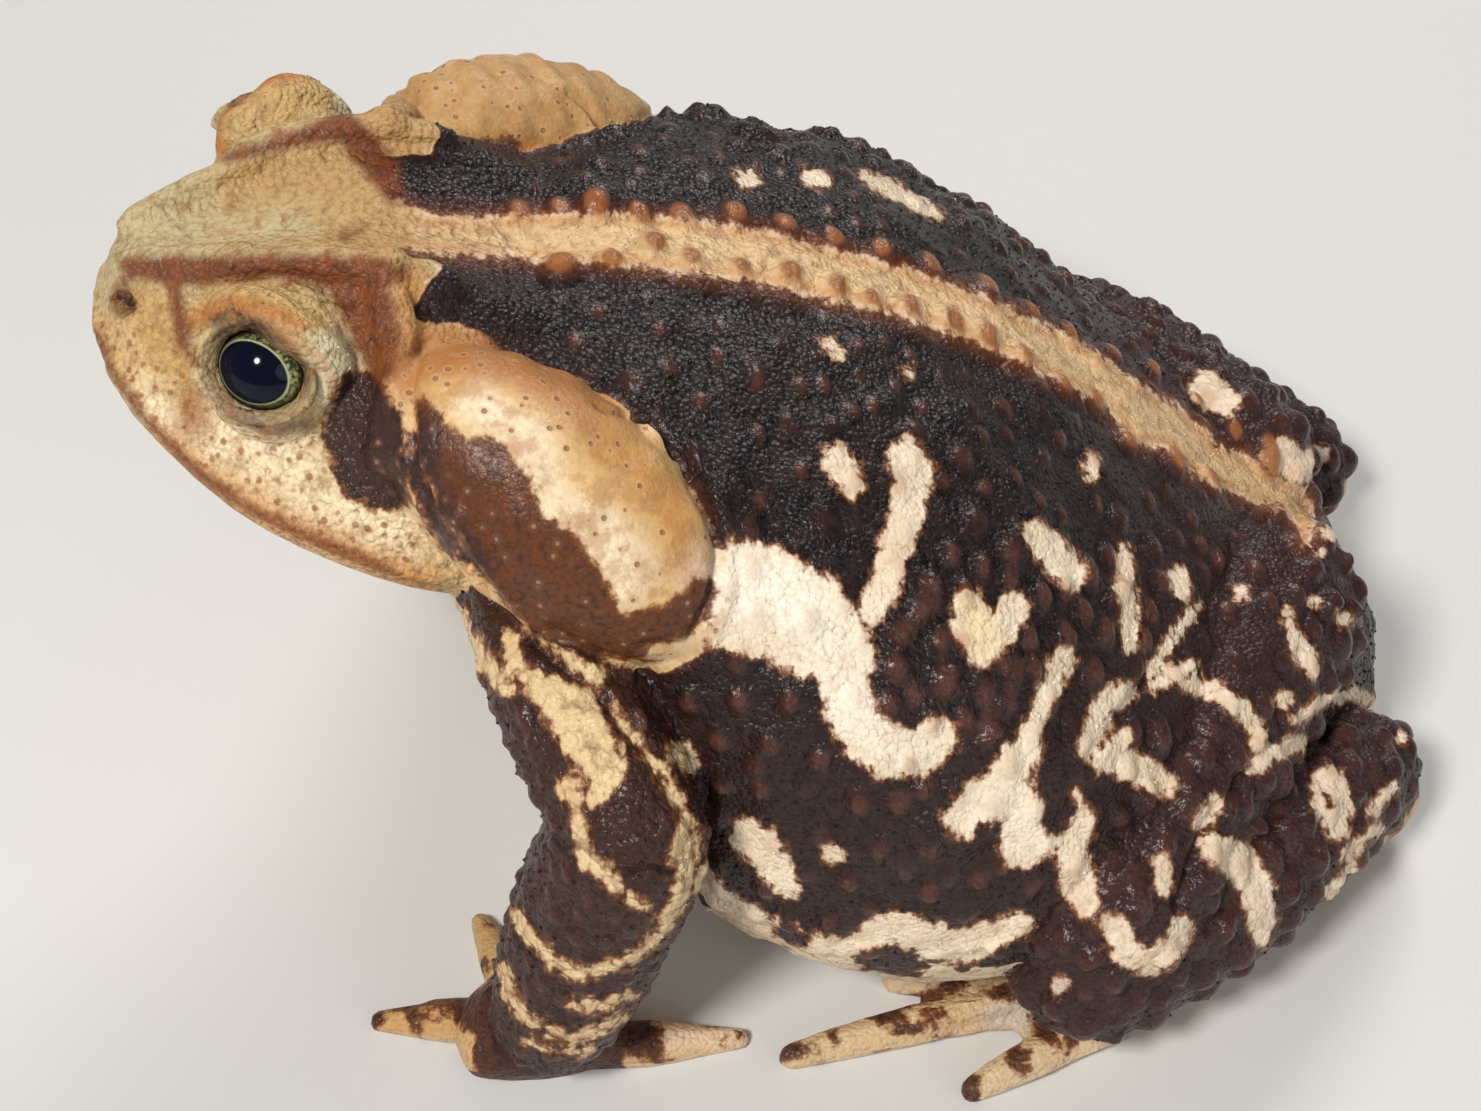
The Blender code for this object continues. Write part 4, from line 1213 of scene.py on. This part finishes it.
def makePebbles():
    # Close rounded pebbles of skin with creases between them, each this many millimetres across
    group, given, gives = newGroup("pebbles", {"Size": 1.0, "Warp": 0.3}, ("Height", "Crease"))
    wobble = moved("SCALE", noise(given["Place"], 0.9, 1.0, output="Color"), given["Warp"])
    gap = cellDistance(moved("ADD", given["Place"], wobble), calc("DIVIDE", 1.0, given["Size"]))
    group.links.new(minus(1.0, times(gap, gap, 1.5)), gives["Height"])
    group.links.new(fade(gap, 0.45, 0.85), gives["Crease"])
    return group


def makeDots():
    # Small round dots, one to a cell, such as pores and speckles
    group, given, gives = newGroup("dots", {"Spacing": 3.0, "Radius": 0.4}, ("Dot", "Halo"))
    gap = cellDistance(given["Place"], calc("DIVIDE", 1.0, given["Spacing"]), 0.75)
    share = calc("DIVIDE", times(gap, given["Spacing"]), given["Radius"])
    group.links.new(fade(share, 1.15, 0.65), gives["Dot"])
    group.links.new(fade(share, 2.4, 1.0), gives["Halo"])
    return group


skinLook = {
    "fray": 1.0,  # millimetres that the noise moves an edge of a mark
    "grow": 0.22,  # and that every pale mark is grown, against what the rim takes
    # millimetres across and high: the fine grain, the coarse one and the head's
    "pebble": 0.62, "pebbleHeight": 0.13, "cobble": 1.35, "cobbleHeight": 0.22,
    "headGrain": 0.70, "headGrainHeight": 0.17,
    "foldHeight": 0.20, "lumpHeight": 0.10,
    "pore": {"Spacing": 1.9, "Radius": 0.32}, "poreDepth": 0.14, "speck": {"Spacing": 1.35, "Radius": 0.46},
    "roughness": 0.36, "specular": 0.32,
}
# Linear colours that are mixed into the tones painted on the mesh. The crease colours are painted shade in the
# creases between pebbles of skin.
skinColours = {
    "rim": (0.24, 0.080, 0.022), "rust": (0.115, 0.025, 0.009), "rustLight": (0.23, 0.058, 0.015),
    # the wart tip colour is partly the warts' own reddish brown, partly a painted highlight on the domes
    "wartTip": (0.112, 0.040, 0.026), "tubercle": (0.32, 0.110, 0.032),
    "darkMottle": (0.055, 0.026, 0.020), "darkCreaseShade": (0.006, 0.004, 0.004),
    "paleMottle": (0.58, 0.36, 0.17), "paleSpots": (0.50, 0.27, 0.10), "paleCreaseShade": (0.30, 0.15, 0.065),
    "paleTip": (0.42, 0.19, 0.07), "glandBlotch": (0.44, 0.19, 0.062),
    "headMottle": (0.33, 0.17, 0.055), "headCreaseShade": (0.24, 0.13, 0.05),
    "poreInDark": (0.34, 0.18, 0.11), "poreInPale": (0.27, 0.10, 0.035),
    "haloInDark": (0.20, 0.085, 0.045), "haloInPale": (0.62, 0.38, 0.20), "speck": (0.30, 0.11, 0.03),
}


def makeSkinMaterial():
    look, colours = skinLook, skinColours
    material = bpy.data.materials.new("toadSkin")
    material.use_nodes = True
    tree = material.node_tree
    shader = tree.nodes["Principled BSDF"]
    place = millimetres(tree)
    pebbles, dots = makePebbles(), makeDots()
    fine = placeGroup(place, pebbles, Size=look["pebble"], Warp=0.35)
    cobble = placeGroup(place, pebbles, Size=look["cobble"], Warp=0.8)
    headGrain = placeGroup(place, pebbles, Size=look["headGrain"], Warp=0.5)
    wide, middle, small = noise(place, 0.16, 2.0), noise(place, 0.55, 3.0, 0.6), noise(place, 2.2, 2.0, 0.6)
    wart, wartRust, gland, cheek, smooth, coarse, rough, headMask = (
        attribute(tree, name)
        for name in ("wart", "wartRust", "gland", "cheek", "smooth", "coarse", "rough", "onHead")
    )

    # The frayed edge between dark and pale, with its warm rim
    shift = plus(times(minus(middle, 0.5), look["fray"] * 1.6), times(minus(small, 0.5), look["fray"] * 0.5))
    streak = noise(moved("MULTIPLY", place, (0.22, 1.0, 0.22)), 1.1, 2.0)
    edge = plus(
        attribute(tree, "cream"), shift, times(minus(streak, 0.5), rough, 1.3),
        times(minus(cobble["Height"], 0.62), 0.55), look["grow"],
    )
    pale = fade(edge, -0.12, 0.22)
    rim = times(fade(edge, -0.50, -0.05), fade(edge, 0.55, 0.05))

    darkTone = attribute(tree, "darkTone", "Color")
    dark = mixColour(fade(middle, 0.35, 0.7), darkTone, colours["darkMottle"])
    dark = mixColour(0.55, dark, darkTone)
    tip = times(fade(wart, 0.10, 0.85), calc("MINIMUM", wartRust, 1.0))
    # Reddish-brown wart tips, lighter than the dark skin round them: partly their own colour, partly a painted
    # highlight on each dome's top
    dark = mixColour(times(tip, 0.85), dark, colours["wartTip"])
    # painted shade: the creases between the fine pebbles are darkened
    dark = mixColour(times(fine["Crease"], 0.45), dark, colours["darkCreaseShade"])

    light = attribute(tree, "paleTone", "Color")
    light = mixColour(fade(wide, 0.3, 0.75, 0.0, 0.35), light, colours["paleMottle"])
    light = mixColour(times(fade(middle, 0.5, 0.75), 0.30), light, colours["paleSpots"])
    # painted shade: the creases between pebbles on pale skin are darkened, more on coarse skin
    creases = calc("MAXIMUM", times(fine["Crease"], 0.12), times(cobble["Crease"], coarse, 0.55))
    light = mixColour(creases, light, colours["paleCreaseShade"])
    light = mixColour(times(tip, 0.55), light, colours["paleTip"])
    blotch = fade(noise(place, 0.38, 4.0, 0.68), 0.43, 0.62, 0.0, 0.55)
    light = mixColour(times(blotch, gland), light, colours["glandBlotch"])
    light = mixColour(times(fade(middle, 0.46, 0.72, 0.0, 0.55), headMask), light, colours["headMottle"])
    # painted shade in the creases of the head's grain
    light = mixColour(times(headGrain["Crease"], headMask, 0.30), light, colours["headCreaseShade"])

    colour = mixColour(pale, dark, light)
    colour = mixColour(times(rim, 0.62), colour, colours["rim"])
    tubercle = times(fade(wartRust, 1.0, 1.7), fade(wart, 0.15, 0.7), 0.85)
    colour = mixColour(tubercle, colour, colours["tubercle"])
    rust = times(fade(plus(attribute(tree, "rust"), times(shift, 0.8)), -0.8, 0.9), 0.94)
    colour = mixColour(rust, colour, mixColour(fade(middle, 0.3, 0.75), colours["rust"], colours["rustLight"]))

    # Pores on the gland and brown speckles on the cheek
    pores = placeGroup(place, dots, **look["pore"])
    poreDot = times(pores["Dot"], gland)
    halo = mixColour(pale, colours["haloInDark"], colours["haloInPale"])
    colour = mixColour(times(pores["Halo"], gland, 0.40), colour, halo)
    pore = mixColour(pale, colours["poreInDark"], colours["poreInPale"])
    colour = mixColour(times(poreDot, 0.75), colour, pore)
    specks = placeGroup(place, dots, **look["speck"])["Dot"]
    colour = mixColour(times(specks, cheek, fade(middle, 0.36, 0.50), 0.8), colour, colours["speck"])
    tree.links.new(colour, shader.inputs["Base Color"])

    # Gloss: warts shine, pale skin less than dark
    gloss = plus(fade(small, 0.3, 0.7, -0.06, 0.08), look["roughness"])
    gloss = plus(gloss, times(pale, 0.08), times(fine["Crease"], 0.12))
    tree.links.new(minus(gloss, times(fade(wart, 0.2, 0.8), 0.12)), shader.inputs["Roughness"])
    shader.inputs["Specular IOR Level"].default_value = look["specular"]

    # Relief too fine for the mesh, in millimetres: grain, rings of folds round the limbs, and pores
    plain = times(minus(1.0, times(smooth, 0.72)), fade(wart, 0.15, 0.6, 1.0, 0.30))
    ringPlace = {"X": times(attribute(tree, "along"), 0.55), "Y": times(middle, 1.6)}
    rings = noise(addNode(tree, "ShaderNodeCombineXYZ", ringPlace).outputs[0], 1.0, 2.0)
    fold = minus(1.0, calc("ABSOLUTE", minus(times(rings, 2.0), 1.0)))
    height = plus(
        times(fine["Height"], plain, look["pebbleHeight"]),
        times(cobble["Height"], coarse, look["cobbleHeight"]),
        times(headGrain["Height"], headMask, look["headGrainHeight"]), times(fold, rough, look["foldHeight"]),
        times(small, look["lumpHeight"]), times(poreDot, -look["poreDepth"]),
    )
    bump = addNode(tree, "ShaderNodeBump", {"Height": height, "Strength": 1.0, "Distance": mm})
    tree.links.new(bump.outputs[0], shader.inputs["Normal"])
    return material


print("skin: material")
toadSkin = makeSkinMaterial()
skin.data.materials.clear()
skin.data.materials.append(toadSkin)
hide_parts(*flesh)
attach(skin, "root")


# Granules: the small horny points on the back, flanks and limbs

granules = {"spacing": 1.25, "smallest": 0.12, "largest": 0.27, "mostPerArea": 900000.0, "seed": 7}


def makeGranuleTree():
    tree = bpy.data.node_groups.new("granules", "GeometryNodeTree")
    tree.interface.new_socket("Geometry", in_out="INPUT", socket_type="NodeSocketGeometry")
    for label in ("Spacing", "Smallest", "Largest"):
        tree.interface.new_socket(label, in_out="INPUT", socket_type="NodeSocketFloat")
    tree.interface.new_socket("Seed", in_out="INPUT", socket_type="NodeSocketInt")
    tree.interface.new_socket("Geometry", in_out="OUTPUT", socket_type="NodeSocketGeometry")
    given = tree.nodes.new("NodeGroupInput").outputs
    density = addNode(tree, "GeometryNodeInputNamedAttribute", {"Name": "granules"}, data_type="FLOAT")
    spread = addNode(tree, "GeometryNodeDistributePointsOnFaces", {
        "Mesh": given["Geometry"], "Distance Min": given["Spacing"], "Density Max": granules["mostPerArea"],
        "Density Factor": density.outputs["Attribute"], "Seed": given["Seed"],
    }, distribute_method="POISSON").outputs
    # Random Value has one pair of ends for each kind of value, so the ones shown are linked by place
    size = addNode(tree, "FunctionNodeRandomValue", {
        2: given["Smallest"], 3: given["Largest"], "Seed": given["Seed"],
    }, data_type="FLOAT").outputs[1]
    ball = addNode(tree, "GeometryNodeMeshIcoSphere", {"Radius": 1.0, "Subdivisions": 1}).outputs["Mesh"]
    ball = addNode(tree, "GeometryNodeSetShadeSmooth", {"Geometry": ball}).outputs[0]
    placed = addNode(tree, "GeometryNodeInstanceOnPoints", {
        "Points": spread["Points"], "Instance": ball, "Rotation": spread["Rotation"], "Scale": size,
    }).outputs[0]
    real = addNode(tree, "GeometryNodeRealizeInstances", {"Geometry": placed}).outputs[0]
    painted = addNode(tree, "GeometryNodeSetMaterial", {"Geometry": real, "Material": toadSkin}).outputs[0]
    tree.links.new(painted, tree.nodes.new("NodeGroupOutput").inputs[0])
    return tree


def makeGranules():
    obj = bpy.data.objects.new("granules", skin.data.copy())
    bpy.context.scene.collection.objects.link(obj)
    modifier = obj.modifiers.new("granules", "NODES")
    modifier.node_group = makeGranuleTree()
    for item in modifier.node_group.interface.items_tree:
        if item.in_out == "INPUT" and item.name != "Geometry":
            value = granules[item.name.lower()]
            modifier[item.identifier] = value if item.name == "Seed" else value * mm
    return bakeModifiers(obj)


print("granules")
grain = makeGranules()
print("granules:", len(grain.data.polygons), "triangles")
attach(grain, "root")


# The eyeballs

eyeColours = {
    "pupil": (0.0025, 0.0035, 0.012), "pupilLine": (0.42, 0.48, 0.27),
    "irisDark": (0.018, 0.020, 0.008), "irisGold": (0.38, 0.38, 0.14), "irisShade": (0.055, 0.060, 0.020),
    "edge": (0.006, 0.006, 0.006),
}


def makeEyeMaterial():
    colours = eyeColours
    material = bpy.data.materials.new("eyeball")
    material.use_nodes = True
    tree = material.node_tree
    shader = tree.nodes["Principled BSDF"]
    across, above = attribute(tree, "across"), attribute(tree, "above")
    flecks = noise(millimetres(tree), 1.6, 3.0, 0.65)

    def ellipse(wide, high, ahead=0.0, raised=0.0):
        x, y = calc("DIVIDE", minus(across, ahead), wide), calc("DIVIDE", minus(above, raised), high)
        return calc("SQRT", plus(times(x, x), times(y, y)))

    # A pale green line round the pupil, then a mottled gold iris that darkens outwards, wider above and behind
    inner = ellipse(eye["pupilWide"], eye["pupilHigh"], eye["pupilAhead"], eye["pupilRaised"])
    ring = plus(ellipse(eye["ringWide"], eye["ringHigh"]), times(minus(flecks, 0.5), 0.16))
    gold = mixColour(fade(flecks, 0.40, 0.64), colours["irisDark"], colours["irisGold"])
    sweep = plus(times(across, -0.22), times(above, 0.45))
    gold = mixColour(fade(sweep, -1.2, 1.3, 0.0, 0.9), colours["irisShade"], gold)
    colour = mixColour(fade(ring, 0.84, 0.98), gold, colours["edge"])
    line = times(fade(inner, 1.00, 1.03), fade(inner, 1.10, 1.04))
    lean = plus(times(across, -0.25), times(above, 0.35))
    colour = mixColour(times(line, fade(lean, -1.2, 1.0, 0.35, 0.95)), colour, colours["pupilLine"])
    colour = mixColour(fade(inner, 1.04, 0.99), colour, colours["pupil"])
    tree.links.new(colour, shader.inputs["Base Color"])
    for name, value in {
        "Roughness": 0.10, "IOR": 1.34, "Specular IOR Level": 0.25, "Coat Weight": 0.10, "Coat Roughness": 0.02,
    }.items():
        shader.inputs[name].default_value = value
    return material


def makeEyeball(name, side, material):
    centre, look, along, up = eyeFrame(side)
    bm = bmesh.new()
    bmesh.ops.create_uvsphere(bm, u_segments=64, v_segments=48, radius=1.0)
    mesh = bpy.data.meshes.new(name)
    across, above = [], []
    for v in bm.verts:
        way = look * v.co.z + along * v.co.x + up * v.co.y
        angle = math.acos(max(-1.0, min(1.0, v.co.z)))
        bulge = eye["cornea"] * math.exp(-(angle / eye["corneaWidth"]) ** 2)
        radius = eye["radius"] + bulge - eye["cornea"] * 0.5
        across.append(v.co.x * radius)
        above.append(v.co.y * radius)
        v.co = Vector((centre + way * radius) * mm)
    bmesh.ops.recalc_face_normals(bm, faces=bm.faces)
    bm.to_mesh(mesh)
    bm.free()
    storeAttribute(mesh, "across", np.array(across))
    storeAttribute(mesh, "above", np.array(above))
    for polygon in mesh.polygons:
        polygon.use_smooth = True
    mesh.materials.append(material)
    obj = bpy.data.objects.new(name, mesh)
    bpy.context.scene.collection.objects.link(obj)
    return obj


print("eyes")
eyeball = makeEyeMaterial()
for name, side in (("eye_left", 1), ("eye_right", -1)):
    ball = makeEyeball("eyeball" + name[3:], side, eyeball)
    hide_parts(name)
    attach(ball, "root")


# The floor, the light and the camera: metres and watts

studio = {
    "floorSize": 6.0, "floorColour": (0.72, 0.71, 0.69), "floorRoughness": 0.75,
    "sky": 0.20, "skyColour": (0.95, 0.97, 1.0), "aim": (0, 0, 0.03),
    # place, width, power and colour
    "lamps": {
        "key": ((0.50, -0.42, 0.78), 0.20, 7.8, (1.0, 0.97, 0.93)),
        "fill": ((0.9, 0.6, 0.45), 0.8, 2.2, (0.93, 0.96, 1.0)),
        "rim": ((-0.65, 0.25, 0.7), 0.4, 4.0, (1.0, 0.98, 0.95)),
    },
}


def makeStudio():
    bpy.ops.mesh.primitive_plane_add(size=studio["floorSize"])
    floor = bpy.context.object
    floor.name = "floor"
    paint = bpy.data.materials.new("floorPaint")
    paint.use_nodes = True
    shader = paint.node_tree.nodes["Principled BSDF"]
    shader.inputs["Base Color"].default_value = (*studio["floorColour"], 1)
    shader.inputs["Roughness"].default_value = studio["floorRoughness"]
    floor.data.materials.append(paint)
    world = bpy.data.worlds.new("studio")
    bpy.context.scene.world = world
    world.use_nodes = True
    sky = world.node_tree.nodes["Background"].inputs
    sky["Color"].default_value = (*studio["skyColour"], 1)
    sky["Strength"].default_value = studio["sky"]
    for name, (place, size, power, colour) in studio["lamps"].items():
        lamp = bpy.data.lights.new(name, "AREA")
        lamp.shape = "DISK"
        lamp.size = size
        lamp.energy = power
        lamp.color = colour
        obj = bpy.data.objects.new(name, lamp)
        obj.location = place
        obj.rotation_euler = (Vector(studio["aim"]) - Vector(place)).to_track_quat("-Z", "Y").to_euler()
        bpy.context.scene.collection.objects.link(obj)


def makeCamera():
    camera = bpy.data.objects.new("camera", bpy.data.cameras.new("camera"))
    bpy.context.scene.collection.objects.link(camera)
    origin, back = cameraAxes()[:2]
    camera.location = origin * mm
    camera.rotation_euler = (-back).to_track_quat("-Z", "Y").to_euler()
    camera.data.sensor_width = 36.0
    camera.data.lens = 18.0 / math.tan(math.radians(view["fieldOfView"]) / 2)
    camera.data.clip_start = 0.01
    bpy.context.scene.camera = camera


makeStudio()
makeCamera()
bpy.context.scene.view_settings.view_transform = "Standard"
print("scene done")
